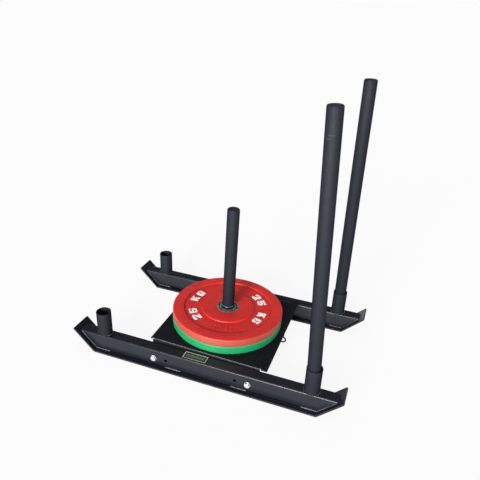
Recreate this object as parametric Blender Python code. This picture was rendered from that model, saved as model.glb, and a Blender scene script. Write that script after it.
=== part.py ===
"""Weight sled with two push poles and a loading post that carries two bumper plates.

Metres, +Z up. The origin is on the floor under the middle of the sled. +X runs back, towards
the end with the push poles, and +Y runs across, away from the rail that carries the label.
"""

import math

import bmesh
import bpy
from mathutils import Matrix, Vector

# Fits between pieces: gaps, and clearances at the radius
SEAT_GAP = 0.0003
MITRE_GAP = 0.0008
POLE_CLEARANCE = 0.00264
HUB_CLEARANCE = 0.00135
COLLAR_CLEARANCE = 0.0004
PLUG_CLEARANCE = 0.0003
BOLT_CLEARANCE = 0.0005

# Skids, the bent runner plates
GAUGE = 0.520
SKID_WIDTH = 0.090
SKID_THICKNESS = 0.006
SKID_FLAT = 0.900
SKID_RISE = 0.088
SKID_SLOPE = math.radians(45.0)
SKID_BEND = 0.003
SKID_CORNER = 0.004

# Rails, the rectangular tubes on the skids
RAIL_WIDTH = 0.048
RAIL_HEIGHT = 0.068
RAIL_WALL = 0.003
RAIL_CORNER = 0.005

# Push poles, and the sockets on the rails that they lean in
POLE_OUTER = 0.0483
POLE_WALL = 0.003
POLE_LENGTH = 0.968
LEAN_SHARES = {"left": 1.0, "right": 0.24}
SOCKET_WALL = 0.0018
SOCKET_HEIGHT = 0.100
SOCKET_INSET = 0.0315

# Plugs in the tubes' ends
PLUG_DEPTH = 0.020
PLUG_WALL = 0.003
CAP_CROWN = 0.008
CAP_ROUND = 0.0045
CAP_DOME = 0.001
FOOT_FLANGE = 0.002

# Platform, a folded sheet between the rails, bolted on with its front a little high
PLATFORM_RISE = 0.0107
PLATFORM_TILT = 0.019
PLATFORM_THICKNESS = 0.005
PLATFORM_BEND = 0.003
FLANGE_LENGTH = 0.438
FRONT_EAR = 0.009
REAR_EAR = 0.028
EAR_RELIEF = 0.003

# Loading post, and the loose collar on it
POST_OUTER = 0.0483
POST_WALL = 0.003
POST_LENGTH = 0.494
COLLAR_WALL = 0.003
COLLAR_HEIGHT = 0.012

# Tow eye under the platform's rear edge
EYE_ROD = 0.006
EYE_INNER = 0.018
EYE_STEM_OUTER = 0.008
EYE_STEM_LENGTH = 0.0071
EYE_SETBACK = 0.0045

# Bolts through the rails and the platform's flanges
BOLT_SPACING = 0.380
BOLT_DROP = 0.0018
BOLT_SIZE = 0.012
BOLT_PROJECTION = 0.005
SPARE_HOLE_INSET = 0.050
FLANGE_MARGIN = 0.020
HEX_ACROSS_FLATS = 0.019
HEX_CHAMFER = 0.001
HEAD_HEIGHT = 0.0075
NUT_HEIGHT = 0.010
WASHER_OUTER = 0.024
WASHER_THICKNESS = 0.0025

# Label on the left rail
LABEL_LENGTH = 0.094
LABEL_WIDTH = 0.036
LABEL_THICKNESS = 0.0008
LABEL_FORWARD = 0.027

# Bumper plates
PLATE_DIAMETER = 0.450
GREEN_THICKNESS = 0.033
RED_THICKNESS = 0.032
RIM_ROUND = 0.0065
RIM_WIDTH = 0.045
BOSS_DIAMETER = 0.216
FIELD_DEPTH = 0.003
FIELD_WALL = 0.0015
HUB_WALL = 0.0195
HUB_CHAMFER = 0.001

# Numbers of sides and of steps in curves
PLATE_SIDES = 48
TUBE_SIDES = 32
HOLE_SIDES = 16
HEX_SIDES = 12
EYE_SIDES = 24
ROD_SIDES = 10
CORNER_STEPS = 3
BEND_STEPS = 5

# Heights and diameters that follow from the ones above
RAIL_BOTTOM = SKID_THICKNESS + SEAT_GAP
RAIL_TOP = RAIL_BOTTOM + RAIL_HEIGHT
RAIL_MIDDLE = RAIL_BOTTOM + RAIL_HEIGHT / 2
SOCKET_FOOT = RAIL_TOP + SEAT_GAP
SOCKET_BORE = POLE_OUTER + 2 * POLE_CLEARANCE
SOCKET_OUTER = SOCKET_BORE + 2 * SOCKET_WALL
SOCKET_REACH = SKID_FLAT / 2 - SOCKET_INSET
PLATFORM_TOP = RAIL_TOP + PLATFORM_RISE
PLATFORM_HALF_WIDTH = GAUGE / 2 - RAIL_WIDTH / 2 - SEAT_GAP
PLATFORM_REAR = FLANGE_LENGTH / 2 + REAR_EAR
BOLT_HEIGHT = RAIL_MIDDLE - BOLT_DROP
BOLT_HOLE = BOLT_SIZE + 2 * BOLT_CLEARANCE
FLANGE_DEPTH = PLATFORM_TOP - BOLT_HEIGHT + FLANGE_MARGIN
HUB_BORE = POST_OUTER + 2 * HUB_CLEARANCE
HUB_OUTER = HUB_BORE + 2 * HUB_WALL
PLATE_BORE = HUB_OUTER + 2 * SEAT_GAP
COLLAR_OUTER = POST_OUTER + 2 * (COLLAR_CLEARANCE + COLLAR_WALL)
# Heights of what stands on the platform, above its top
GREEN_FOOT = SEAT_GAP
RED_FOOT = GREEN_FOOT + GREEN_THICKNESS + SEAT_GAP
COLLAR_FOOT = RED_FOOT + RED_THICKNESS + SEAT_GAP
# A pole leans all the way when it meets its socket at the mouth and at the foot.
FULL_LEAN = math.atan2(2 * (POLE_CLEARANCE - SEAT_GAP), SOCKET_HEIGHT)

SIDES = {"left": -1, "right": 1}
ENDS = {"front": -1, "rear": 1}

# Colour, roughness and metallic value of each finish
FINISHES = {
    "black_steel": ((0.030, 0.032, 0.036), 0.50, 0.0),
    "zinc": ((0.62, 0.64, 0.66), 0.35, 1.0),
    "hub_steel": ((0.45, 0.46, 0.46), 0.40, 1.0),
    "black_plastic": ((0.020, 0.021, 0.023), 0.45, 0.0),
    "label": ((0.10, 0.16, 0.09), 0.45, 0.0),
    "red_rubber": ((0.62, 0.035, 0.030), 0.55, 0.0),
    "green_rubber": ((0.020, 0.38, 0.13), 0.55, 0.0),
}


def clear_scene():
    """Removes every object that is already in the file."""
    for item in list(bpy.data.objects):
        bpy.data.objects.remove(item, do_unlink=True)


def finish(name):
    """Returns the named finish as a material, made on its first use."""
    material = bpy.data.materials.get(name)
    if material is None:
        colour, roughness, metallic = FINISHES[name]
        material = bpy.data.materials.new(name)
        material.use_nodes = True
        shader = material.node_tree.nodes["Principled BSDF"]
        shader.inputs["Base Color"].default_value = (*colour, 1.0)
        shader.inputs["Roughness"].default_value = roughness
        shader.inputs["Metallic"].default_value = metallic
        material.diffuse_color = (*colour, 1.0)
    return material


def place(name, mesh, material, location=(0, 0, 0), smooth=None, parent=None):
    """Turns a bmesh into a named object, with its normals outward and its finish set."""
    bmesh.ops.recalc_face_normals(mesh, faces=mesh.faces)
    data = bpy.data.meshes.new(name)
    mesh.to_mesh(data)
    mesh.free()
    if smooth is not None:
        data.shade_smooth()
        data.set_sharp_from_angle(angle=smooth)
    data.materials.append(finish(material))
    item = bpy.data.objects.new(name, data)
    item.location = location
    item.parent = parent
    bpy.context.scene.collection.objects.link(item)
    return item


def guide(name, location, tilt=0.0, parent=None):
    """An empty that carries a sub-assembly, with its Z tipped towards the rear by an angle."""
    empty = bpy.data.objects.new(name, None)
    empty.location = location
    empty.rotation_euler = (0.0, tilt, 0.0)
    empty.parent = parent
    empty.empty_display_size = 0.05
    bpy.context.scene.collection.objects.link(empty)
    return empty


def cut(item, cutter):
    """Cuts one object out of another, and keeps the cutter out of the model."""
    cutter.hide_render = True
    cutter.display_type = "WIRE"
    modifier = item.modifiers.new("holes", "BOOLEAN")
    modifier.operation = "DIFFERENCE"
    modifier.solver = "EXACT"
    modifier.object = cutter


def join(item, other):
    """Joins a second solid to an object, and keeps it out of the model by itself."""
    other.hide_render = True
    other.display_type = "WIRE"
    modifier = item.modifiers.new("joined", "BOOLEAN")
    modifier.operation = "UNION"
    modifier.solver = "EXACT"
    modifier.object = other


def extruded(outline, axis, start, end):
    """A bmesh made by drawing a closed outline along X, Y or Z.

    The outline's pairs are (y, z) along X, (x, z) along Y and (x, y) along Z.
    """
    order = {"x": lambda p: (start, *p), "y": lambda p: (p[0], start, p[1]), "z": lambda p: (*p, start)}
    direction = {"x": (1, 0, 0), "y": (0, 1, 0), "z": (0, 0, 1)}
    mesh = bmesh.new()
    face = mesh.faces.new([mesh.verts.new(order[axis](p)) for p in outline])
    drawn = bmesh.ops.extrude_face_region(mesh, geom=[face])
    moved = [v for v in drawn["geom"] if isinstance(v, bmesh.types.BMVert)]
    bmesh.ops.translate(mesh, verts=moved, vec=Vector(direction[axis]) * (end - start))
    return mesh


def turned(profile, sides, closed=True):
    """A bmesh made by turning an (r, z) profile about Z.

    A closed profile makes a ring, and an open one starts and ends on the axis.
    """
    mesh = bmesh.new()
    points = [mesh.verts.new((r, 0.0, z)) for r, z in profile]
    pairs = list(zip(points, points[1:]))
    if closed:
        pairs.append((points[-1], points[0]))
    edges = [mesh.edges.new(pair) for pair in pairs]
    bmesh.ops.spin(
        mesh,
        geom=points + edges,
        cent=(0, 0, 0),
        axis=(0, 0, 1),
        angle=2 * math.pi,
        steps=sides,
    )
    bmesh.ops.remove_doubles(mesh, verts=mesh.verts, dist=1e-6)
    return mesh


def arc(centre, radius, start, end, steps):
    """Points of an arc in a plane, with its angles in radians."""
    turn = [start + (end - start) * i / steps for i in range(steps + 1)]
    return [(centre[0] + radius * math.cos(a), centre[1] + radius * math.sin(a)) for a in turn]


def rounded_rectangle(width, height, radius, centre=(0.0, 0.0)):
    """Outline of a rectangle with round corners."""
    outline = []
    for quarter, (sx, sy) in enumerate(((1, 1), (-1, 1), (-1, -1), (1, -1))):
        corner = (centre[0] + sx * (width / 2 - radius), centre[1] + sy * (height / 2 - radius))
        begin = quarter * math.pi / 2
        outline += arc(corner, radius, begin, begin + math.pi / 2, CORNER_STEPS)
    return outline


def ramp_x(height, offset):
    """Distance from the middle of the sled to a face of the raised skid end, offset inwards."""
    return SKID_FLAT / 2 + height / math.tan(SKID_SLOPE) - offset / math.sin(SKID_SLOPE)


def skid_outline():
    """Side view of a skid: flat in the middle and bent up at both ends."""
    outer = SKID_BEND + SKID_THICKNESS
    tangent = outer * math.tan(SKID_SLOPE / 2)
    centre = (SKID_FLAT / 2 - tangent, outer)
    down = -math.pi / 2
    tip = (ramp_x(SKID_RISE, 0.0), SKID_RISE)
    inner_tip = (
        tip[0] - SKID_THICKNESS * math.sin(SKID_SLOPE),
        tip[1] + SKID_THICKNESS * math.cos(SKID_SLOPE),
    )
    half = arc(centre, outer, down, down + SKID_SLOPE, BEND_STEPS) + [tip, inner_tip]
    half += reversed(arc(centre, SKID_BEND, down, down + SKID_SLOPE, BEND_STEPS))
    return half + [(-x, z) for x, z in reversed(half)]


def build_skid(side):
    """One bent runner plate, with the corners of its raised ends rounded."""
    mesh = extruded(skid_outline(), "y", -SKID_WIDTH / 2, SKID_WIDTH / 2)
    corners = [
        e
        for e in mesh.edges
        if all(v.co.z > SKID_RISE - SEAT_GAP for v in e.verts)
        and abs(e.verts[0].co.y - e.verts[1].co.y) < SEAT_GAP
        and e.verts[0].co.x * e.verts[1].co.x > 0
    ]
    bmesh.ops.bevel(mesh, geom=corners, offset=SKID_CORNER, segments=CORNER_STEPS, affect="EDGES", profile=0.5)
    place(f"skid_{side}", mesh, "black_steel", (0, SIDES[side] * GAUGE / 2, 0))


def rail_loop(mesh, inset, end):
    """One end loop of the rail's outer or inner wall, cut to the slope of the skid's end."""
    outline = rounded_rectangle(
        RAIL_WIDTH - 2 * inset,
        RAIL_HEIGHT - 2 * inset,
        RAIL_CORNER - inset,
        (0.0, RAIL_BOTTOM + RAIL_HEIGHT / 2),
    )
    offset = SKID_THICKNESS + MITRE_GAP
    points = [mesh.verts.new((end * ramp_x(z, offset), y, z)) for y, z in outline]
    return [mesh.edges.new((a, b)) for a, b in zip(points, points[1:] + points[:1])]


def cross_holes(name, places, diameter, centre_y, reach):
    """A cutter of round rods along Y, one at each distance along the rail."""
    mesh = bmesh.new()
    for x in places:
        turn = Matrix.Translation((x, centre_y, BOLT_HEIGHT)) @ Matrix.Rotation(math.pi / 2, 4, "X")
        bmesh.ops.create_cone(
            mesh,
            cap_ends=True,
            segments=HOLE_SIDES,
            radius1=diameter / 2,
            radius2=diameter / 2,
            depth=reach,
            matrix=turn,
        )
    return place(name, mesh, "black_steel")


def build_rail(side):
    """One rectangular tube, mitred at both ends, with its bolt holes and spare holes."""
    mesh = bmesh.new()
    loops = [
        rail_loop(mesh, inset, end)
        for inset, end in ((0.0, -1), (0.0, 1), (RAIL_WALL, 1), (RAIL_WALL, -1))
    ]
    for first, second in zip(loops, loops[1:] + loops[:1]):
        bmesh.ops.bridge_loops(mesh, edges=first + second)
    y = SIDES[side] * GAUGE / 2
    rail = place(f"rail_{side}", mesh, "black_steel", (0, y, 0))
    reaches = (BOLT_SPACING / 2, BOLT_SPACING / 2 - SPARE_HOLE_INSET)
    places = [sign * reach for reach in reaches for sign in (-1, 1)]
    cut(rail, cross_holes(f"cutter_rail_{side}", places, BOLT_HOLE, y, 2 * RAIL_WIDTH))


def tube_profile(outer, wall, length):
    """Half-section of a plain round tube that stands on z = 0."""
    inner = outer / 2 - wall
    return [(inner, 0.0), (outer / 2, 0.0), (outer / 2, length), (inner, length)]


def build_sockets():
    """The four short tubes on the rails."""
    for side, across in SIDES.items():
        for end, along in ENDS.items():
            mesh = turned(tube_profile(SOCKET_OUTER, SOCKET_WALL, SOCKET_HEIGHT), TUBE_SIDES)
            spot = (along * SOCKET_REACH, across * GAUGE / 2, SOCKET_FOOT)
            place(f"socket_{end}_{side}", mesh, "black_steel", spot, smooth=math.radians(30))


def grown(mesh, face, direction, distance):
    """Draws one face of a closed mesh outwards and returns the face at its new place."""
    drawn = bmesh.ops.extrude_face_region(mesh, geom=[face])
    moved = [v for v in drawn["geom"] if isinstance(v, bmesh.types.BMVert)]
    bmesh.ops.translate(mesh, verts=moved, vec=Vector(direction) * distance)
    bmesh.ops.delete(mesh, geom=[face], context="FACES_ONLY")
    return next(f for f in drawn["geom"] if isinstance(f, bmesh.types.BMFace))


def side_face(mesh, edge_x, side):
    """The narrow face at the side of an ear, which looks across the sled."""
    reach = PLATFORM_HALF_WIDTH - PLATFORM_BEND - PLATFORM_THICKNESS
    return next(
        f
        for f in mesh.faces
        if all(abs(v.co.y - side * reach) < SEAT_GAP for v in f.verts)
        and any(abs(v.co.x - edge_x) < SEAT_GAP for v in f.verts)
    )


def channel_half():
    """Half of the platform's cross-section under z = 0: bend and flange, without the flat top."""
    outer = PLATFORM_BEND + PLATFORM_THICKNESS
    centre = (PLATFORM_HALF_WIDTH - outer, -outer)
    outline = arc(centre, outer, math.pi / 2, 0.0, BEND_STEPS)
    outline += [
        (PLATFORM_HALF_WIDTH, -FLANGE_DEPTH),
        (PLATFORM_HALF_WIDTH - PLATFORM_THICKNESS, -FLANGE_DEPTH),
    ]
    outline += arc(centre, PLATFORM_BEND, 0.0, math.pi / 2, BEND_STEPS)
    return outline


def build_platform(deck):
    """The folded sheet: flat top, two flanges, and ears past the flanges' ends."""
    half = channel_half()
    outline = half + [(-y, z) for y, z in reversed(half)]
    mesh = extruded(outline, "x", -FLANGE_LENGTH / 2, FLANGE_LENGTH / 2)
    bmesh.ops.recalc_face_normals(mesh, faces=mesh.faces)
    top_point, bottom_point = half[0], half[-1]
    for end, ear in ((-1, FRONT_EAR), (1, REAR_EAR)):
        x = end * FLANGE_LENGTH / 2
        cap = next(f for f in mesh.faces if all(abs(v.co.x - x) < SEAT_GAP for v in f.verts))
        for sign in (-1, 1):
            pair = [
                next(v for v in cap.verts if (v.co - Vector((x, sign * y, z))).length < SEAT_GAP)
                for y, z in (top_point, bottom_point)
            ]
            parts = bmesh.utils.face_split(cap, *pair)
            new_face = parts[0]
            if abs(new_face.calc_center_median().y) < abs(cap.calc_center_median().y):
                cap = new_face
        neck = grown(mesh, cap, (end, 0, 0), EAR_RELIEF)
        grown(mesh, neck, (end, 0, 0), ear - EAR_RELIEF)
        for sign in (-1, 1):
            ear_side = side_face(mesh, x + end * ear, sign)
            grown(mesh, ear_side, (0, sign, 0), PLATFORM_BEND + PLATFORM_THICKNESS)
    platform = place("platform", mesh, "black_steel", parent=deck)
    places = [sign * BOLT_SPACING / 2 for sign in (-1, 1)]
    cut(platform, cross_holes("cutter_platform", places, BOLT_HOLE, 0.0, GAUGE))


def build_tow_eye(deck):
    """A closed ring of round bar, upright along the sled, on a short stem under the platform."""
    radius = (EYE_INNER + EYE_ROD) / 2
    section = arc((radius, 0.0), EYE_ROD / 2, 0.0, 2 * math.pi, ROD_SIDES)[:-1]
    ring = turned(section, EYE_SIDES)
    bmesh.ops.rotate(ring, verts=ring.verts, matrix=Matrix.Rotation(math.pi / 2, 3, "X"))
    reach = PLATFORM_REAR - EYE_SETBACK
    stem_top = -PLATFORM_THICKNESS - SEAT_GAP
    middle = stem_top - EYE_STEM_LENGTH - EYE_ROD / 2 - radius
    eye = place("tow_eye", ring, "black_steel", (reach, 0, middle), smooth=math.radians(60), parent=deck)
    ends = [circle(EYE_STEM_OUTER, HOLE_SIDES, z) for z in (middle + radius, stem_top)]
    join(eye, place("guide_tow_eye_stem", stacked(ends), "black_steel", (reach, 0, 0), parent=deck))


def hexagon(across_flats, sides, height):
    """A hexagon with extra points along its sides, so that it can meet a circle of as many points."""
    ring = []
    for i in range(sides):
        angle = 2 * math.pi * i / sides
        off_flat = (angle + math.pi / 6) % (math.pi / 3) - math.pi / 6
        radius = across_flats / 2 / math.cos(off_flat)
        ring.append((radius * math.cos(angle), radius * math.sin(angle), height))
    return ring


def circle(diameter, sides, height):
    """A circle of points about Z."""
    turn = [2 * math.pi * i / sides for i in range(sides)]
    return [(diameter / 2 * math.cos(a), diameter / 2 * math.sin(a), height) for a in turn]


def stacked(rings, ring_shaped=False):
    """A bmesh through rings of points, capped at both ends, or joined round to the first ring."""
    mesh = bmesh.new()
    loops = [[mesh.verts.new(p) for p in ring] for ring in rings]
    follow = loops[1:] + loops[:1] if ring_shaped else loops[1:]
    for low, high in zip(loops, follow):
        for i, vertex in enumerate(low):
            j = (i + 1) % len(low)
            mesh.faces.new((vertex, low[j], high[j], high[i]))
    if not ring_shaped:
        mesh.faces.new(loops[0])
        mesh.faces.new(loops[-1])
    return mesh


def bolt_mesh(length):
    """Hexagon bolt with its head on z = 0 and upwards, and its shank down from it."""
    rings = [
        circle(BOLT_SIZE - 2 * HEX_CHAMFER, HEX_SIDES, -length),
        circle(BOLT_SIZE, HEX_SIDES, HEX_CHAMFER - length),
        circle(BOLT_SIZE, HEX_SIDES, 0.0),
        hexagon(HEX_ACROSS_FLATS, HEX_SIDES, 0.0),
        hexagon(HEX_ACROSS_FLATS, HEX_SIDES, HEAD_HEIGHT - HEX_CHAMFER),
        circle(HEX_ACROSS_FLATS - HEX_CHAMFER, HEX_SIDES, HEAD_HEIGHT),
    ]
    return stacked(rings)


def nut_mesh():
    """Hexagon nut that stands on z = 0, chamfered on both faces."""
    bore = BOLT_SIZE + 2 * SEAT_GAP
    rings = [
        circle(bore, HEX_SIDES, 0.0),
        circle(HEX_ACROSS_FLATS - HEX_CHAMFER, HEX_SIDES, 0.0),
        hexagon(HEX_ACROSS_FLATS, HEX_SIDES, HEX_CHAMFER),
        hexagon(HEX_ACROSS_FLATS, HEX_SIDES, NUT_HEIGHT - HEX_CHAMFER),
        circle(HEX_ACROSS_FLATS - HEX_CHAMFER, HEX_SIDES, NUT_HEIGHT),
        circle(bore, HEX_SIDES, NUT_HEIGHT),
    ]
    return stacked(rings, ring_shaped=True)


def washer_mesh():
    """Flat washer that stands on z = 0."""
    return turned(tube_profile(WASHER_OUTER, (WASHER_OUTER - BOLT_HOLE) / 2, WASHER_THICKNESS), HOLE_SIDES)


def build_fasteners():
    """Bolt, two washers and nut at each of the four corners of the platform."""
    head_washer = GAUGE / 2 + RAIL_WIDTH / 2 + SEAT_GAP
    head = head_washer + WASHER_THICKNESS + SEAT_GAP
    nut_washer = PLATFORM_HALF_WIDTH - PLATFORM_THICKNESS - SEAT_GAP - WASHER_THICKNESS
    nut = nut_washer - SEAT_GAP - NUT_HEIGHT
    length = head - nut + BOLT_PROJECTION
    for side, across in SIDES.items():
        outwards = Matrix.Rotation(-across * math.pi / 2, 3, "X")
        for end, along in ENDS.items():
            stations = (
                ("bolt", bolt_mesh(length), head),
                ("head_washer", washer_mesh(), head_washer),
                ("nut_washer", washer_mesh(), nut_washer),
                ("nut", nut_mesh(), nut),
            )
            for kind, mesh, distance in stations:
                bmesh.ops.rotate(mesh, verts=mesh.verts, matrix=outwards)
                spot = (along * BOLT_SPACING / 2, across * distance, BOLT_HEIGHT)
                place(f"{kind}_{end}_{side}", mesh, "zinc", spot)


def build_label():
    """The thin plate on the left rail's top, forward of the middle."""
    outline = rounded_rectangle(LABEL_LENGTH, LABEL_WIDTH, LABEL_THICKNESS)
    mesh = extruded(outline, "z", 0.0, LABEL_THICKNESS)
    spot = (-LABEL_FORWARD, SIDES["left"] * GAUGE / 2, RAIL_TOP + SEAT_GAP)
    place("label_plate", mesh, "label", spot)


def cap_profile(outer, wall):
    """Half-section of a plug with a domed crown; z = 0 is the tube's end."""
    stem = outer / 2 - wall - PLUG_CLEARANCE
    hollow = stem - PLUG_WALL
    shoulder = (outer / 2 - CAP_ROUND, SEAT_GAP + CAP_CROWN - CAP_DOME - CAP_ROUND)
    return [
        (0.0, SEAT_GAP),
        (hollow, SEAT_GAP),
        (hollow, -PLUG_DEPTH),
        (stem, -PLUG_DEPTH),
        (stem, SEAT_GAP),
        (outer / 2, SEAT_GAP),
        *arc(shoulder, CAP_ROUND, 0.0, math.pi / 2, CORNER_STEPS),
        (0.0, SEAT_GAP + CAP_CROWN),
    ]


def foot_profile(outer, wall):
    """Half-section of the plug in a tube's lower end; z = 0 is what the tube stands on."""
    stem = outer / 2 - wall - PLUG_CLEARANCE
    return [
        (0.0, 0.0),
        (outer / 2, 0.0),
        (outer / 2, FOOT_FLANGE),
        (stem, FOOT_FLANGE),
        (stem, FOOT_FLANGE + PLUG_DEPTH),
        (0.0, FOOT_FLANGE + PLUG_DEPTH),
    ]


def build_tube(name, outer, wall, length, foot, carrier):
    """A plain round tube on its carrier's axis, from a height upwards."""
    tube = turned(tube_profile(outer, wall, length), TUBE_SIDES)
    place(name, tube, "black_steel", (0, 0, foot), smooth=math.radians(30), parent=carrier)


def build_plug(name, profile, height, carrier):
    """A plug on its carrier's axis, in one end of a tube."""
    mesh = turned(profile, TUBE_SIDES, closed=False)
    place(name, mesh, "black_plastic", (0, 0, height), smooth=math.radians(40), parent=carrier)


def build_poles():
    """The push poles, which stand loose in their sockets and lean forward in them."""
    for side, across in SIDES.items():
        lean = FULL_LEAN * LEAN_SHARES[side]
        lift = POLE_OUTER / 2 * math.sin(lean)
        drop = SOCKET_HEIGHT / 2 - lift
        foot = (SOCKET_REACH + drop * math.tan(lean), across * GAUGE / 2, SOCKET_FOOT + lift)
        axis = guide(f"axis_push_pole_{side}", foot, -lean)
        tube_foot = FOOT_FLANGE + SEAT_GAP
        build_tube(f"push_pole_{side}", POLE_OUTER, POLE_WALL, POLE_LENGTH, tube_foot, axis)
        build_plug(f"pole_foot_{side}", foot_profile(POLE_OUTER, POLE_WALL), 0.0, axis)
        build_plug(f"pole_cap_{side}", cap_profile(POLE_OUTER, POLE_WALL), tube_foot + POLE_LENGTH, axis)


def build_post(deck):
    """The loading post, welded upright on the platform, and the collar that is loose on it."""
    build_tube("weight_post", POST_OUTER, POST_WALL, POST_LENGTH, SEAT_GAP, deck)
    build_plug("post_cap", cap_profile(POST_OUTER, POST_WALL), SEAT_GAP + POST_LENGTH, deck)
    axis = guide("axis_post_collar", (0, 0, COLLAR_FOOT), parent=deck)
    build_tube("post_collar", COLLAR_OUTER, COLLAR_WALL, COLLAR_HEIGHT, 0.0, axis)


def plate_face():
    """The (r, depth) outline of one face of a plate, from its hub seat to its rim's edge."""
    rim_inner = PLATE_DIAMETER / 2 - RIM_WIDTH
    return [
        (PLATE_BORE / 2, 0.0),
        (BOSS_DIAMETER / 2, 0.0),
        (BOSS_DIAMETER / 2 + FIELD_WALL, FIELD_DEPTH),
        (rim_inner - FIELD_WALL, FIELD_DEPTH),
        (rim_inner, 0.0),
    ]


def plate_profile(thickness):
    """Half-section of a plate's rubber disc that lies on z = 0."""
    edge = PLATE_DIAMETER / 2 - RIM_ROUND
    face = plate_face()
    lower = face + arc((edge, RIM_ROUND), RIM_ROUND, -math.pi / 2, 0.0, CORNER_STEPS)
    upper = [(r, thickness - z) for r, z in reversed(lower)]
    return lower + upper


def hub_profile(thickness):
    """Half-section of a hub ring, with its bore's edges broken."""
    bore = HUB_BORE / 2
    return [
        (bore + HUB_CHAMFER, 0.0),
        (HUB_OUTER / 2, 0.0),
        (HUB_OUTER / 2, thickness),
        (bore + HUB_CHAMFER, thickness),
        (bore, thickness - HUB_CHAMFER),
        (bore, HUB_CHAMFER),
    ]


def build_plate(colour, thickness, foot, deck):
    """One bumper plate: a rubber disc and the steel ring in its middle."""
    carrier = guide(f"axis_{colour}_plate", (0, 0, foot), parent=deck)
    disc = turned(plate_profile(thickness), PLATE_SIDES)
    place(f"{colour}_plate", disc, f"{colour}_rubber", smooth=math.radians(30), parent=carrier)
    ring = turned(hub_profile(thickness), PLATE_SIDES)
    place(f"{colour}_hub", ring, "hub_steel", smooth=math.radians(30), parent=carrier)


def main():
    """Builds the sled from the floor up."""
    clear_scene()
    for side in SIDES:
        build_skid(side)
        build_rail(side)
    build_sockets()
    deck = guide("deck", (0, 0, PLATFORM_TOP), PLATFORM_TILT)
    build_platform(deck)
    build_tow_eye(deck)
    build_fasteners()
    build_label()
    build_poles()
    build_post(deck)
    build_plate("green", GREEN_THICKNESS, GREEN_FOOT, deck)
    build_plate("red", RED_THICKNESS, RED_FOOT, deck)


main()
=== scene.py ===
"""Looks of a weight sled that carries two bumper plates on a post.

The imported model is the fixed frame, and each visible surface is dressed or rebuilt on it. Metres,
+Z up, +X towards the end with the push poles, +Y away from the rail that carries the label.
"""

from __future__ import annotations

import logging
import math
from dataclasses import dataclass
from enum import Enum
from typing import Iterable, Sequence

import bmesh
import bpy
import numpy as np
from mathutils import Matrix, Vector

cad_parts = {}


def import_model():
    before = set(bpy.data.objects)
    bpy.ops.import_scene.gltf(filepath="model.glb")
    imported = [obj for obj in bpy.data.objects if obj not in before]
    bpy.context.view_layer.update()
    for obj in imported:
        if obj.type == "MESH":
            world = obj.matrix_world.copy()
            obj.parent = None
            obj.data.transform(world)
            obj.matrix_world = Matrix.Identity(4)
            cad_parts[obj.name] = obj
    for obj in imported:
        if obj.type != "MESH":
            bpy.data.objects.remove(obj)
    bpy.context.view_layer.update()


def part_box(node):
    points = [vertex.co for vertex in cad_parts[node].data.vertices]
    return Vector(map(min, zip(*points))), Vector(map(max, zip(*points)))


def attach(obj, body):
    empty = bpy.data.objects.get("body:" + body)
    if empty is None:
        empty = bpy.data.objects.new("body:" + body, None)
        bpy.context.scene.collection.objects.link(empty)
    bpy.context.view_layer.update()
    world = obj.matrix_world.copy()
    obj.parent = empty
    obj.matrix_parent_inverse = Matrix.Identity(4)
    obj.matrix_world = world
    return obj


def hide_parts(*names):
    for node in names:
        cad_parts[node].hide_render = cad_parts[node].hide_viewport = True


LOG = logging.getLogger("weight_sled")

Point2 = tuple[float, float]
Point3 = tuple[float, float, float]
Colour = tuple[float, float, float]
Feeds = dict[str | int, object]

UP = Vector((0.0, 0.0, 1.0))
FULL_TURN = 2 * math.pi
MERGE_DISTANCE = 1e-6
BORE_LIP_SHARE = 0.6
LIP_STEPS = 3

# Material numbers of the finishes in a piece's list
SECOND = 1
THIRD = 2

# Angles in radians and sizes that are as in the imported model
POLE_LEAN = 0.0468
PLATFORM_TILT = 0.019
TUBE_WALL = 0.003
CAP_CROWN = 0.008
FOOT_FLANGE = 0.002
PLUG_CLEARANCE = 0.0003


class Body(Enum):
    """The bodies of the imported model."""

    BASE = "base"
    POLE_LEFT = "push_pole_left"
    POLE_RIGHT = "push_pole_right"
    GREEN_PLATE = "green_plate"
    RED_PLATE = "red_plate"
    COLLAR = "post_collar"


class Slot(Enum):
    """The record's material slots."""

    COAT = "powder_coat"
    ZINC = "zinc"
    HUB = "hub_steel"
    CAP = "cap"
    LABEL = "label"
    RED = "red_rubber"
    GREEN = "green_rubber"


class Opposite(Enum):
    """One of two opposite places, whose value is the sign of their axis there."""

    @property
    def label(self) -> str:
        """The place's name, as nodes and pieces carry it."""
        return self.name.lower()


class Side(Opposite):
    """The sled's sides, with the sign of Y."""

    LEFT = -1
    RIGHT = 1


class End(Opposite):
    """The sled's ends, with the sign of X."""

    FRONT = -1
    REAR = 1


# Materials


@dataclass(frozen=True)
class Noise:
    """Noise: its waves per metre, its octaves, and how strong each octave is beside the one before."""

    waves: float
    octaves: float = 3.0
    fineness: float = 0.55


@dataclass(frozen=True)
class Blotches:
    """Noise spread over a grey ramp from one pair of place and level to another."""

    noise: Noise
    start: Point2
    end: Point2


@dataclass(frozen=True)
class Bump:
    """Relief from noise, with its strength, and its depth in metres."""

    noise: Noise
    strength: float
    depth: float


def grey_ramp(tree: bpy.types.NodeTree, stops: Iterable[Point2]) -> bpy.types.Node:
    """Adds a ramp of greys to a node tree.

    Args:
        tree: The tree.
        stops: Pairs of place on the ramp and grey level.

    Returns:
        The ramp's node.
    """
    ramp = tree.nodes.new("ShaderNodeValToRGB")
    points = ramp.color_ramp.elements
    given = len(points)
    for i, (place, level) in enumerate(stops):
        point = points[i] if i < given else points.new(place)
        point.position = place
        point.color = (level, level, level, 1.0)
    return ramp


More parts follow.
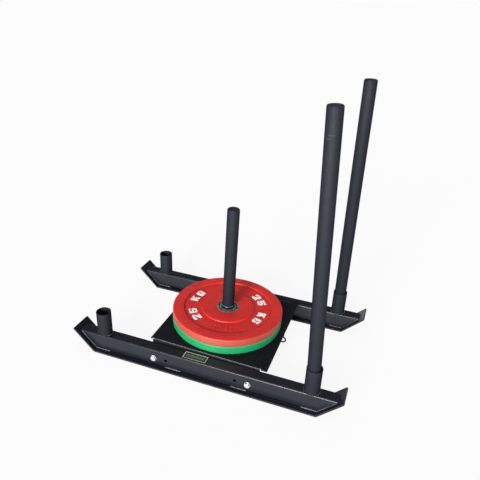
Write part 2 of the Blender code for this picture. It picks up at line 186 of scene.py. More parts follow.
class Recipe:
    """One material's node tree, with short calls that add and join its nodes."""

    # The Mix node has a set of sockets for each type of data, and these are the colours' ones
    MIX_FIRST = 6
    MIX_SECOND = 7
    MIX_RESULT = 2

    def __init__(self, name: str) -> None:
        """Starts an empty tree with a Principled shader.

        Args:
            name: The material's name.
        """
        self.material = bpy.data.materials.new(name)
        self.material.use_nodes = True
        self.tree = self.material.node_tree
        self.tree.nodes.clear()
        self.output = self.node("ShaderNodeOutputMaterial")
        self.shader = self.node("ShaderNodeBsdfPrincipled")
        self.feed(self.shader.outputs["BSDF"], self.output.inputs["Surface"])
        self.place = self.node("ShaderNodeTexCoord").outputs["Object"]

    def feed(self, value: object, target: bpy.types.NodeSocket) -> None:
        """Links an input to a socket, or sets it.

        Args:
            value: A socket, a number, a vector or a colour.
            target: The input.
        """
        if isinstance(value, bpy.types.NodeSocket):
            self.tree.links.new(value, target)
        elif target.type == "RGBA":
            target.default_value = (*value, 1.0)
        else:
            target.default_value = value

    def node(self, kind: str, feeds: Feeds | None = None, **settings: object) -> bpy.types.Node:
        """Adds a node.

        Args:
            kind: Blender's name of the node's type.
            feeds: What each of its inputs gets, by the input's name or number.
            **settings: Properties of the node.

        Returns:
            The new node.
        """
        made = self.tree.nodes.new(kind)
        for key, value in settings.items():
            setattr(made, key, value)
        for key, value in (feeds or {}).items():
            self.feed(value, made.inputs[key])
        return made

    def parts(self, vector: bpy.types.NodeSocket) -> bpy.types.NodeOutputs:
        """Returns a vector's parts, by the names of the axes."""
        return self.node("ShaderNodeSeparateXYZ", {"Vector": vector}).outputs

    def noise(self, noise: Noise, where: bpy.types.NodeSocket | None = None) -> bpy.types.NodeSocket:
        """Adds a noise texture.

        Args:
            noise: The noise.
            where: The vector that places it, or the object's own coordinates.

        Returns:
            The socket of the noise's value.
        """
        feeds = {
            "Scale": noise.waves,
            "Detail": noise.octaves,
            "Roughness": noise.fineness,
            "Vector": where or self.place,
        }
        return self.node("ShaderNodeTexNoise", feeds).outputs["Fac"]

    def blotches(self, blotches: Blotches, where: bpy.types.NodeSocket | None = None) -> bpy.types.NodeSocket:
        """Adds noise that is spread over a ramp.

        Args:
            blotches: The noise and the ramp's ends.
            where: The vector that places the noise, or the object's own coordinates.

        Returns:
            The socket of the level.
        """
        ramp = grey_ramp(self.tree, (blotches.start, blotches.end))
        self.feed(self.noise(blotches.noise, where), ramp.inputs["Fac"])
        return ramp.outputs["Color"]

    def maths(self, operation: str, first: object, second: object = 0.0) -> bpy.types.NodeSocket:
        """Returns the result of a Math node on sockets or numbers."""
        return self.node("ShaderNodeMath", {0: first, 1: second}, operation=operation).outputs["Value"]

    def mixed(self, share: bpy.types.NodeSocket, first: object, second: object) -> bpy.types.NodeSocket:
        """Mixes two colours.

        Args:
            share: The share of the second one.
            first: A colour, or its socket.
            second: A colour, or its socket.

        Returns:
            The socket of the mixed colour.
        """
        feeds = {"Factor": share, self.MIX_FIRST: first, self.MIX_SECOND: second}
        return self.node("ShaderNodeMix", feeds, data_type="RGBA").outputs[self.MIX_RESULT]

    def shade(self, name: str, value: object) -> None:
        """Sets or links one of the shader's inputs."""
        self.feed(value, self.shader.inputs[name])

    def relief(self, height: bpy.types.NodeSocket, strength: float, depth: float) -> None:
        """Adds relief to the shader, on top of what it has.

        Args:
            height: The height's socket.
            strength: The relief's strength.
            depth: Its depth in metres.
        """
        bump = self.node("ShaderNodeBump", {"Height": height, "Strength": strength, "Distance": depth})
        normal = self.shader.inputs["Normal"]
        if normal.is_linked:
            self.feed(normal.links[0].from_socket, bump.inputs["Normal"])
        self.feed(bump.outputs["Normal"], normal)

    def bump(self, bump: Bump, share: float = 1.0) -> None:
        """Adds relief from noise, at a share of its strength."""
        self.relief(self.noise(bump.noise), bump.strength * share, bump.depth)


@dataclass(frozen=True)
class Finish:
    """A finish, which makes one material."""

    name: str

    def dress(self, made: Recipe) -> None:
        """Adds the finish's nodes.

        Args:
            made: The recipe that takes them.
        """
        raise NotImplementedError

    def material(self) -> bpy.types.Material:
        """Makes the finish's material.

        Returns:
            The material.
        """
        made = Recipe(self.name)
        self.dress(made)
        return made.material


@dataclass(frozen=True)
class PowderCoat(Finish):
    """Black powder coat with fine orange peel, and faint dust and rubs."""

    name: str = "black_powder_coat"
    colour: Colour = (0.0065, 0.0085, 0.0145)
    dusty: Colour = (0.0125, 0.0145, 0.0210)
    roughness: Point2 = (0.27, 0.37)
    ior: float = 1.42
    grain: float = 0.5
    fading: bool = False
    patches: Blotches = Blotches(Noise(14.0, 4.0), (0.40, 0.0), (0.75, 1.0))
    specks: Blotches = Blotches(Noise(420.0, 2.0), (0.62, 0.0), (0.72, 0.6))
    least_dust: float = 0.35
    gloss_noise: Noise = Noise(45.0)
    gloss_places: Point2 = (0.30, 0.70)
    orange_peel: Bump = Bump(Noise(330.0, 2.0, 0.5), 0.20, 0.0004)
    fine_peel: Bump = Bump(Noise(1500.0, 1.0, 0.5), 0.16, 0.0002)
    specular: float = 0.5
    fade_power: float = 2.0

    def dress(self, made: Recipe) -> None:
        """Adds the finish's nodes.

        Args:
            made: The recipe that takes them.
        """
        if self.fading:
            facing = made.node("ShaderNodeLayerWeight").outputs["Facing"]
            towards = made.maths("SUBTRACT", 1.0, facing)
            fade = made.maths("POWER", towards, self.fade_power)
            made.shade("Specular IOR Level", made.maths("MULTIPLY", fade, self.specular))
        specks = made.maths("ADD", made.blotches(self.specks), self.least_dust)
        dust = made.maths("MULTIPLY", made.blotches(self.patches), specks)
        made.shade("Base Color", made.mixed(dust, self.colour, self.dusty))
        start, end = zip(self.gloss_places, self.roughness)
        made.shade("Roughness", made.blotches(Blotches(self.gloss_noise, start, end)))
        made.shade("IOR", self.ior)
        made.bump(self.orange_peel, self.grain)
        made.bump(self.fine_peel, self.grain)


@dataclass(frozen=True)
class Rub:
    """A pale rub on a pole: its middle across and up from the marks' centre, and its half length."""

    across: float
    up: float
    half_length: float


@dataclass(frozen=True)
class ScuffedCoat(PowderCoat):
    """Powder coat with two pale rubs across the front of a pole, near its top."""

    height: float = 0.892
    rubs: tuple[Rub, ...] = (Rub(-0.0100, 0.0052, 0.0080), Rub(-0.0150, -0.0055, 0.0052))
    half_height: float = 0.0022
    facing: Point2 = (0.34, -0.94)
    pale: Colour = (0.055, 0.056, 0.060)
    cover: float = 0.8
    ragged: Noise = Noise(260.0)
    ragged_height: float = 0.0026

    def dress(self, made: Recipe) -> None:
        """Adds the finish's nodes, with the rubs over the coat's colour.

        Args:
            made: The recipe that takes them.
        """
        super().dress(made)
        place = made.parts(made.place)
        x = made.maths("ADD", place["X"], math.sin(POLE_LEAN) * self.height)
        y = place["Y"]
        up = made.maths("SUBTRACT", place["Z"], math.cos(POLE_LEAN) * self.height)
        ahead, aside = self.facing
        towards = made.maths("ADD", made.maths("MULTIPLY", x, ahead), made.maths("MULTIPLY", y, aside))
        across = made.maths("ADD", made.maths("MULTIPLY", x, -aside), made.maths("MULTIPLY", y, ahead))
        ragged = made.maths("MULTIPLY", made.noise(self.ragged), self.ragged_height)
        in_front = made.maths("GREATER_THAN", towards, 0.0)
        rubbed = None
        for rub in self.rubs:
            along = made.maths("ABSOLUTE", made.maths("SUBTRACT", across, rub.across))
            above = made.maths("ABSOLUTE", made.maths("SUBTRACT", up, rub.up))
            within = made.maths("LESS_THAN", along, rub.half_length)
            thin = made.maths("LESS_THAN", made.maths("ADD", above, ragged), self.half_height)
            mark = made.maths("MULTIPLY", within, thin)
            rubbed = mark if rubbed is None else made.maths("MAXIMUM", rubbed, mark)
        share = made.maths("MULTIPLY", made.maths("MULTIPLY", rubbed, in_front), self.cover)
        coat = made.shader.inputs["Base Color"].links[0].from_socket
        made.shade("Base Color", made.mixed(share, coat, self.pale))


@dataclass(frozen=True)
class RubbedCoat(Finish):
    """Powder coat on an edge or a weld, rubbed smoother and paler than the faces beside it: the paler colour
    is partly wear and partly a painted highlight.
    """

    name: str = "rubbed_edge_coat"
    # Paler than the coat: the edge's wear together with a painted highlight
    colour: Colour = (0.036, 0.037, 0.041)
    bare: Colour = (0.070, 0.070, 0.075)
    bare_share: float = 0.4
    roughness: float = 0.48
    wear: Noise = Noise(90.0, 5.0, 0.7)
    wear_places: Point2 = (0.50, 0.68)
    grain: Bump = Bump(Noise(900.0, 2.0), 0.06, 0.0002)

    def dress(self, made: Recipe) -> None:
        """Adds the finish's nodes.

        Args:
            made: The recipe that takes them.
        """
        start, end = zip(self.wear_places, (0.0, self.bare_share))
        worn = made.blotches(Blotches(self.wear, start, end))
        made.shade("Base Color", made.mixed(worn, self.colour, self.bare))
        made.shade("Roughness", self.roughness)
        made.bump(self.grain)


@dataclass(frozen=True)
class BlottedFinish(Finish):
    """A finish of two colours in blots, with its own metallic share, uneven gloss, IOR and grain."""

    name: str
    colour: Colour
    second: Colour
    blots: Blotches
    roughness: Blotches
    grain: Bump | None = None
    metallic: float = 0.0
    ior: float = 1.5

    def dress(self, made: Recipe) -> None:
        """Adds the finish's nodes.

        Args:
            made: The recipe that takes them.
        """
        made.shade("Base Color", made.mixed(made.blotches(self.blots), self.colour, self.second))
        made.shade("Metallic", self.metallic)
        made.shade("IOR", self.ior)
        made.shade("Roughness", made.blotches(self.roughness))
        if self.grain:
            made.bump(self.grain)


@dataclass(frozen=True)
class TurnedSteel(BlottedFinish):
    """Steel of a hub, with the fine rings that turning leaves and grey handling marks."""

    name: str = "turned_hub_steel"
    colour: Colour = (0.33, 0.33, 0.32)
    second: Colour = (0.10, 0.10, 0.10)
    blots: Blotches = Blotches(Noise(85.0, 4.0), (0.40, 0.0), (0.62, 1.0))
    roughness: Blotches = Blotches(Noise(180.0), (0.3, 0.34), (0.7, 0.52))
    metallic: float = 0.45
    ring_scale: float = 450.0
    ring_wander: float = 0.6
    ring_strength: float = 0.10
    ring_depth: float = 0.0002

    def dress(self, made: Recipe) -> None:
        """Adds the finish's nodes, and the rings about the plate's axis.

        Args:
            made: The recipe that takes them.
        """
        super().dress(made)
        feeds = {"Scale": self.ring_scale, "Distortion": self.ring_wander, "Vector": made.place}
        rings = made.node("ShaderNodeTexWave", feeds, wave_type="RINGS", rings_direction="Z")
        made.relief(rings.outputs["Fac"], self.ring_strength, self.ring_depth)


@dataclass(frozen=True)
class SolidRubber(Finish):
    """Coloured solid rubber of a bumper plate, satin, with a little chalk and mottling, a painted shade in
    the rim's crease, and a painted tone on the rolling side.
    """

    name: str
    colour: Colour
    deep: Colour
    chalk: Colour
    # Painted shade: the dark colour of a thin ring in the rim's crease
    crease: Colour
    # Painted light: the rolling side's own tone, darker than the faces as painted shade, and on the red plate
    # greyer as a painted sheen
    side: Colour
    mottle: Blotches = Blotches(Noise(22.0, 4.0), (0.32, 0.0), (0.72, 1.0))
    rubs: Blotches = Blotches(Noise(9.0, 6.0, 0.72), (0.60, 0.0), (0.78, 0.22))
    rub_stretch: Point3 = (1.0, 2.6, 1.0)
    specks: Blotches = Blotches(Noise(700.0, 1.0), (0.70, 0.0), (0.80, 0.25))
    roughness: Blotches = Blotches(Noise(35.0, 4.0), (0.3, 0.40), (0.7, 0.56))
    specular: float = 0.45
    waviness: Bump = Bump(Noise(120.0), 0.10, 0.0006)
    grain: Bump = Bump(Noise(1100.0, 2.0), 0.16, 0.0002)
    # Where the crease's painted shade lies, and how dark it gets
    crease_radius: float = 0.1778
    crease_half: float = 0.0014
    crease_gain: float = 1.6
    crease_most: float = 0.85
    rim_middle: float = 0.20
    side_lying: float = 0.80
    side_gain: float = 2.5

    def from_axis(self, made: Recipe) -> bpy.types.NodeSocket:
        """Finds the distance from the plate's axis.

        Args:
            made: The recipe that takes the nodes.

        Returns:
            The socket of the distance, in metres.
        """
        turn = (0.0, -PLATFORM_TILT, 0.0)
        level = made.node("ShaderNodeMapping", {"Vector": made.place, "Rotation": turn}).outputs["Vector"]
        feeds = {0: level, 1: (1.0, 1.0, 0.0)}
        flat = made.node("ShaderNodeVectorMath", feeds, operation="MULTIPLY").outputs["Vector"]
        return made.node("ShaderNodeVectorMath", {0: flat}, operation="LENGTH").outputs["Value"]

    def on_side(self, made: Recipe, away: bpy.types.NodeSocket) -> bpy.types.NodeSocket:
        """Finds how much of the side's painted tone shows: 1 on the rolling side and 0 on the faces.

        Args:
            made: The recipe that takes the nodes.
            away: The distance from the plate's axis.

        Returns:
            The socket of the share.
        """
        normal = made.node("ShaderNodeNewGeometry").outputs["Normal"]
        lying = made.maths("ABSOLUTE", made.parts(normal)["Z"])
        rise = made.maths("MULTIPLY", made.maths("SUBTRACT", self.side_lying, lying), self.side_gain)
        share = made.maths("MINIMUM", made.maths("MAXIMUM", rise, 0.0), 1.0)
        return made.maths("MULTIPLY", share, made.maths("GREATER_THAN", away, self.rim_middle))

    def in_crease(self, made: Recipe, away: bpy.types.NodeSocket) -> bpy.types.NodeSocket:
        """Finds how much of the painted shade in the rim's crease shows.

        Args:
            made: The recipe that takes the nodes.
            away: The distance from the plate's axis.

        Returns:
            The socket of the share, 0 away from the crease.
        """
        off = made.maths("ABSOLUTE", made.maths("SUBTRACT", away, self.crease_radius))
        near = made.maths("SUBTRACT", 1.0, made.maths("DIVIDE", off, self.crease_half))
        share = made.maths("MINIMUM", made.maths("MULTIPLY", near, self.crease_gain), self.crease_most)
        return made.maths("MAXIMUM", share, 0.0)

    def dress(self, made: Recipe) -> None:
        """Adds the finish's nodes.

        Args:
            made: The recipe that takes them.
        """
        body = made.mixed(made.blotches(self.mottle), self.colour, self.deep)
        feeds = {"Vector": made.place, "Scale": self.rub_stretch}
        stretched = made.node("ShaderNodeMapping", feeds).outputs["Vector"]
        chalky = made.maths("MAXIMUM", made.blotches(self.rubs, stretched), made.blotches(self.specks))
        body = made.mixed(chalky, body, self.chalk)
        away = self.from_axis(made)
        # Painted shade: a dark ring in the rim's crease
        body = made.mixed(self.in_crease(made, away), body, self.crease)
        # Painted light: the rolling side takes its own tone of painted shade and sheen
        made.shade("Base Color", made.mixed(self.on_side(made, away), body, self.side))
        made.shade("Roughness", made.blotches(self.roughness))
        made.shade("Specular IOR Level", self.specular)
        made.bump(self.waviness)
        made.bump(self.grain)


@dataclass(frozen=True)
class NumeralPaint(Finish):
    """White paint on the tops of the raised numerals, thin in places."""

    name: str = "white_numeral_paint"
    colour: Colour = (0.86, 0.85, 0.83)
    thin: Colour = (0.70, 0.52, 0.50)
    wear: Blotches = Blotches(Noise(150.0, 5.0, 0.7), (0.60, 0.0), (0.74, 0.7))
    roughness: float = 0.48
    grain: Bump = Bump(Noise(800.0), 0.12, 0.0002)

    def dress(self, made: Recipe) -> None:
        """Adds the finish's nodes.

        Args:
            made: The recipe that takes them.
        """
        made.shade("Base Color", made.mixed(made.blotches(self.wear), self.colour, self.thin))
        made.shade("Roughness", self.roughness)
        made.bump(self.grain)


@dataclass(frozen=True)
class PrintedPlate(Finish):
    """Dark green face of the bare label, with a pale printed border and a blank paler strip."""

    centre: Point2
    half: Point2
    field: Colour = (0.010, 0.016, 0.011)
    ink: Colour = (0.60, 0.74, 0.54)
    blank: Colour = (0.115, 0.150, 0.118)
    border: Point2 = (0.0010, 0.0032)
    strip_half: Point2 = (0.0375, 0.0062)
    ink_wear: Blotches = Blotches(Noise(420.0, 4.0, 0.7), (0.34, 0.45), (0.54, 1.0))
    strip_wear: Blotches = Blotches(Noise(190.0, 4.0, 0.7), (0.36, 0.25), (0.58, 1.0))
    roughness: float = 0.36
    grain: Bump = Bump(Noise(500.0), 0.06, 0.0002)

    def dress(self, made: Recipe) -> None:
        """Adds the finish's nodes.

        Args:
            made: The recipe that takes them.
        """
        place = made.parts(made.place)
        insets, within = [], []
        for axis, middle, reach, strip in zip("XY", self.centre, self.half, self.strip_half):
            away = made.maths("ABSOLUTE", made.maths("SUBTRACT", place[axis], middle))
            insets.append(made.maths("SUBTRACT", reach, away))
            within.append(made.maths("LESS_THAN", away, strip))
        inset = made.maths("MINIMUM", *insets)
        outer, inner = self.border
        past_outer = made.maths("GREATER_THAN", inset, outer)
        lined = made.maths("MULTIPLY", past_outer, made.maths("LESS_THAN", inset, inner))
        strip = made.maths("MULTIPLY", made.maths("MULTIPLY", *within), made.blotches(self.strip_wear))
        inked = made.maths("MULTIPLY", lined, made.blotches(self.ink_wear))
        made.shade("Base Color", made.mixed(inked, made.mixed(strip, self.field, self.blank), self.ink))
        made.shade("Roughness", self.roughness)
        made.bump(self.grain)


@dataclass(frozen=True)
class StudioFloor(Finish):
    """White studio floor with a faint unevenness, which keeps the sled's shadow."""

    name: str = "studio_floor_white"
    colour: Colour = (0.78, 0.78, 0.78)
    second_share: float = 0.985
    white_share: float = 0.90
    unevenness: Blotches = Blotches(Noise(3.0), (0.3, 0.0), (0.7, 1.0))
    roughness: float = 0.9
    specular: float = 0.1

    def dress(self, made: Recipe) -> None:
        """Adds the finish's nodes, with a share of plain white for the rays that look at the floor.

        Args:
            made: The recipe that takes them.
        """
        second = tuple(self.second_share * part for part in self.colour)
        made.shade("Base Color", made.mixed(made.blotches(self.unevenness), self.colour, second))
        made.shade("Roughness", self.roughness)
        made.shade("Specular IOR Level", self.specular)
        rays = made.node("ShaderNodeLightPath").outputs
        seen = made.maths("MAXIMUM", rays["Is Camera Ray"], rays["Is Glossy Ray"])
        seen = made.maths("MAXIMUM", seen, rays["Is Transmission Ray"])
        white = made.node("ShaderNodeEmission").outputs["Emission"]
        share = made.maths("MULTIPLY", seen, self.white_share)
        blend = made.node("ShaderNodeMixShader", {0: share, 1: made.shader.outputs["BSDF"], 2: white})
        made.feed(blend.outputs["Shader"], made.output.inputs["Surface"])


class Finishes:
    """The finishes, and the materials that they have made."""

    # A lighter, rougher copy of the coat for the upright tubes: the lighter colour is painted light, in place
    # of the sheen that they catch
    TUBE_COAT = {
        "colour": (0.0118, 0.0142, 0.0212),
        "dusty": (0.0158, 0.0182, 0.0250),
        "roughness": (0.64, 0.74),
        "grain": 0.6,
        "fading": True,
    }

    COAT = PowderCoat()
    TUBE = PowderCoat("dull_tube_coat", ior=1.36, **TUBE_COAT)
    SCUFFED = ScuffedCoat("scuffed_tube_coat", ior=1.40, **TUBE_COAT)
    # A darker, duller copy of the coat for the platform and the tow eye: the darker colour is painted shade
    SHEET = PowderCoat(
        "dull_sheet_coat",
        colour=(0.0065, 0.0078, 0.0105),
        dusty=(0.0120, 0.0130, 0.0165),
        roughness=(0.40, 0.50),
        ior=1.18,
    )
    GLOSS = PowderCoat(
        "glossy_collar_coat",
        colour=(0.0035, 0.0042, 0.0055),
        dusty=(0.0060, 0.0070, 0.0080),
        roughness=(0.14, 0.22),
        ior=1.50,
        grain=0.2,
    )
    # Broken edges of the sheets: paler with wear and a painted highlight
    EDGE = RubbedCoat()
    # The collar's lip: pale with rubbing and a painted highlight
    LIP = RubbedCoat(
        "rubbed_lip_coat",
        colour=(0.060, 0.064, 0.070),
        bare=(0.20, 0.20, 0.21),
        bare_share=0.5,
        roughness=0.28,
    )
    # A bright strip along the platform's fold: a painted highlight on the bend
    FOLD = RubbedCoat(
        "rubbed_fold_coat",
        colour=(0.15, 0.15, 0.16),
        bare=(0.38, 0.38, 0.39),
        bare_share=0.7,
        roughness=0.45,
    )
    # Weld beads: paler than the coat, partly worn metal and partly a painted highlight
    WELD = RubbedCoat(
        "weld_bead_coat",
        colour=(0.040, 0.042, 0.045),
        bare=(0.19, 0.19, 0.20),
        bare_share=0.7,
        roughness=0.46,
    )
    ZINC = BlottedFinish(
        "bright_zinc",
        colour=(0.80, 0.81, 0.83),
        second=(0.52, 0.53, 0.54),
        blots=Blotches(Noise(260.0), (0.42, 0.0), (0.70, 1.0)),
        roughness=Blotches(Noise(600.0, 2.0), (0.3, 0.28), (0.7, 0.46)),
        grain=Bump(Noise(2200.0, 1.0), 0.12, 0.0001),
        metallic=0.9,
    )
    PLASTIC = BlottedFinish(
        "black_moulded_plastic",
        colour=(0.0075, 0.0080, 0.0095),
        second=(0.016, 0.016, 0.018),
        blots=Blotches(Noise(60.0), (0.4, 0.0), (0.8, 1.0)),
        roughness=Blotches(Noise(240.0), (0.3, 0.52), (0.7, 0.64)),
        grain=Bump(Noise(1300.0, 2.0), 0.30, 0.0002),
        ior=1.33,
    )
    HUB = TurnedSteel()
    # Dark steel in the hub's groove: painted shade in the recess
    GROOVE = TurnedSteel("oily_groove_steel", colour=(0.030, 0.028, 0.027), second=(0.012, 0.012, 0.012))
    RED = SolidRubber(
        "red_solid_rubber",
        colour=(0.67, 0.024, 0.019),
        deep=(0.58, 0.017, 0.014),
        chalk=(0.74, 0.11, 0.09),
        # Painted shade in the rim's crease
        crease=(0.30, 0.006, 0.006),
        # Painted light on the rolling side: darker, and greyer as a painted sheen
        side=(0.395, 0.072, 0.045),
    )
    GREEN = SolidRubber(
        "green_solid_rubber",
        colour=(0.016, 0.43, 0.155),
        deep=(0.010, 0.35, 0.115),
        chalk=(0.12, 0.52, 0.28),
        # Painted shade in the rim's crease
        crease=(0.006, 0.16, 0.055),
        # Painted shade on the rolling side
        side=(0.0080, 0.255, 0.090),
    )
    NUMERALS = NumeralPaint()
    FLOOR = StudioFloor()

    made: dict[str, bpy.types.Material] = {}

    @classmethod
    def get(cls, finish: Finish) -> bpy.types.Material:
        """Finds a finish's material, and makes it on its first use.

        Args:
            finish: One of the finishes above, or another.

        Returns:
            The material, shared by all the pieces that have it.
        """
        if finish.name not in cls.made:
            cls.made[finish.name] = finish.material()
        return cls.made[finish.name]


# Shapes


@dataclass(frozen=True)
class Axis:
    """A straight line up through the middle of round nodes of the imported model."""

    origin: Vector
    direction: Vector

    @classmethod
    def of(cls, node: str) -> Axis:
        """Finds the axis of a long round node.

        Args:
            node: The node's name.

        Returns:
            The line through its middle, with the origin at the node's lower end.
        """
        points = node_points(node)
        middle = points.mean(0)
        longest = np.linalg.svd(points - middle, full_matrices=False)[2][0]
        direction = longest if longest[2] > 0 else -longest
        foot = ((points - middle) @ direction).min()
        return cls(Vector(middle + foot * direction), Vector(direction))

    def span(self, node: str) -> Point2:
        """Returns how far along the axis a node starts and ends."""
        along = (node_points(node) - np.array(self.origin)) @ np.array(self.direction)
        return float(along.min()), float(along.max())

    def reach(self, node: str) -> Point2:
        """Finds a node's least and greatest distance from the axis.

        Args:
            node: The node's name.

        Returns:
            Both distances.
        """
        away = node_points(node) - np.array(self.origin)
        flat = away - np.outer(away @ np.array(self.direction), np.array(self.direction))
        far = np.linalg.norm(flat, axis=1)
        return float(far.min()), float(far.max())

    def matrix(self, height: float = 0.0) -> Matrix:
        """Finds the place of a shape that stands on the axis.

        Args:
            height: Distance along the axis.

        Returns:
            A matrix with its Z along the axis and its Y across the sled.
        """
        up = self.direction.normalized()
        front = Vector((0.0, 1.0, 0.0)).cross(up).normalized()
        turn = Matrix((front, up.cross(front), up)).transposed().to_4x4()
        return Matrix.Translation(self.origin + up * height) @ turn


def node_points(node: str) -> np.ndarray:
    """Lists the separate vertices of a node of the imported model.

    Args:
        node: The node's name.

    Returns:
        A row for each vertex.
    """
    mesh = bpy.data.objects[node].data
    flat = np.zeros(len(mesh.vertices) * 3)
    mesh.vertices.foreach_get("co", flat)
    return np.unique(flat.reshape(-1, 3).round(6), axis=0)


def node_mesh(node: str) -> bmesh.types.BMesh:
    """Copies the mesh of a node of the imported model.

    Args:
        node: The node's name.

    Returns:
        The copy, with its vertices merged.
    """
    mesh = bmesh.new()
    mesh.from_mesh(bpy.data.objects[node].data)
    bmesh.ops.remove_doubles(mesh, verts=mesh.verts, dist=MERGE_DISTANCE)
    return mesh


def take_in(whole: bmesh.types.BMesh, part: bmesh.types.BMesh) -> None:
    """Adds a mesh to another one.

    Args:
        whole: The mesh that takes the other one.
        part: The mesh that is added, and freed.
    """
    data = bpy.data.meshes.new("part")
    part.to_mesh(data)
    part.free()
    whole.from_mesh(data)
    bpy.data.meshes.remove(data)


def turns(count: int) -> list[float]:
    """Returns the angles of equal steps round a circle."""
    return [FULL_TURN * i / count for i in range(count)]


def ring_points(centre: Point3, radius: float, angles: Iterable[float]) -> tuple[Vector, ...]:
    """Returns the points of a level circle at some angles."""
    x, y, z = centre
    return tuple(Vector((x + radius * math.cos(a), y + radius * math.sin(a), z)) for a in angles)


def filleted(
    points: Sequence[Point2], radii: Sequence[float], steps: int = 4, closed: bool = True
) -> list[Point2]:
    """Rounds the corners of an outline.

    Args:
        points: The corners.
        radii: The radius at each corner, or 0 for a sharp one.
        steps: Steps in each arc.
        closed: Whether the outline is a loop.

    Returns:
        The outline's points.
    """
    outline: list[Point2] = []
    for i, (point, radius) in enumerate(zip(points, radii)):
        here = Vector(point)
        at_end = not closed and i in (0, len(points) - 1)
        if radius <= 0 or at_end:
            outline.append(tuple(here))
            continue
        back = (Vector(points[i - 1]) - here).normalized()
        ahead = (Vector(points[(i + 1) % len(points)]) - here).normalized()
        half = back.angle(ahead) / 2
        tangent = radius / math.tan(half)
        middle = here + (back + ahead).normalized() * (radius / math.sin(half))
        start = here + back * tangent - middle
        turn = start.angle_signed(here + ahead * tangent - middle)
        for k in range(steps + 1):
            cosine, sine = math.cos(-turn * k / steps), math.sin(-turn * k / steps)
            x = middle.x + start.x * cosine - start.y * sine
            y = middle.y + start.x * sine + start.y * cosine
            outline.append((x, y))
    return outline


def skin(mesh: bmesh.types.BMesh, rings: Sequence[Sequence[bmesh.types.BMVert]], looped: bool) -> None:
    """Joins rings of vertices with faces, and turns the faces outwards.

    Args:
        mesh: The mesh that takes the faces.
        rings: The rings, all of one count, apart from those that are a single vertex.
        looped: Whether the last ring is joined to the first one.
    """
    sides = max(len(ring) for ring in rings)
    pairs = list(zip(rings, rings[1:]))
    if looped:
        pairs.append((rings[-1], rings[0]))
    for low, high in pairs:
        for i in range(sides):
            j = (i + 1) % sides
            corners = (low[i % len(low)], low[j % len(low)], high[j % len(high)], high[i % len(high)])
            mesh.faces.new(list(dict.fromkeys(corners)))
    bmesh.ops.recalc_face_normals(mesh, faces=mesh.faces)


def revolved(profile: Sequence[Point2], sides: int, closed: bool = True) -> bmesh.types.BMesh:
    """Turns an (r, z) outline about Z.

    Args:
        profile: The outline, which may touch the axis at its ends where it isn't a loop.
        sides: Number of sides.
        closed: Whether the outline is a loop.

    Returns:
        The mesh.
    """
    mesh = bmesh.new()
    rings = []
    for radius, z in profile:
        angles = turns(sides) if radius > 0 else [0.0]
        rings.append([mesh.verts.new((radius * math.cos(a), radius * math.sin(a), z)) for a in angles])
    skin(mesh, rings, closed)
    return mesh


def tube_outline(inner: float, outer: float, height: float, lip: float) -> list[Point2]:
    """Makes the outline of a tube that stands on z = 0, with rounded lips.

    Args:
        inner: The bore's radius.
        outer: The tube's radius.
        height: The tube's height.
        lip: Radius of the outer lips. The inner ones have a smaller one.

    Returns:
        The (r, z) outline.
    """
    bore_lip = lip * BORE_LIP_SHARE
    corners = [(inner, 0.0), (outer, 0.0), (outer, height), (inner, height)]
    return filleted(corners, [bore_lip, lip, lip, bore_lip], LIP_STEPS)


def make_piece(
    name: str,
    mesh: bmesh.types.BMesh,
    body: Body,
    finishes: Sequence[Finish],
    place: Matrix | None = None,
    replaces: Sequence[str] = (),
    smooth: float = 40.0,
) -> bpy.types.Object:
    """Makes a piece that rides on a body.

    Args:
        name: The piece's name.
        mesh: Its mesh, which is freed.
        body: The body that it moves with.
        finishes: Its finishes, in the order of the mesh's material numbers.
        place: Where it stands, or the sled's own frame.
        replaces: The nodes that it stands for.
        smooth: Faces that meet at less than this many degrees shade as one surface.

    Returns:
        The object.
    """
    if place is not None:
        mesh.transform(place.to_3x3().to_4x4())
    data = bpy.data.meshes.new(name)
    mesh.to_mesh(data)
    mesh.free()
    data.shade_smooth()
    data.set_sharp_from_angle(angle=math.radians(smooth))
    for finish in finishes:
        data.materials.append(Finishes.get(finish))
    item = bpy.data.objects.new(name, data)
    bpy.context.scene.collection.objects.link(item)
    if place is not None:
        item.location = place.translation
    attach(item, body.value)
    if replaces:
        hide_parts(*replaces)
    LOG.info("%s: %d faces on %s", name, len(data.polygons), body.value)
    return item


# The sled's pieces


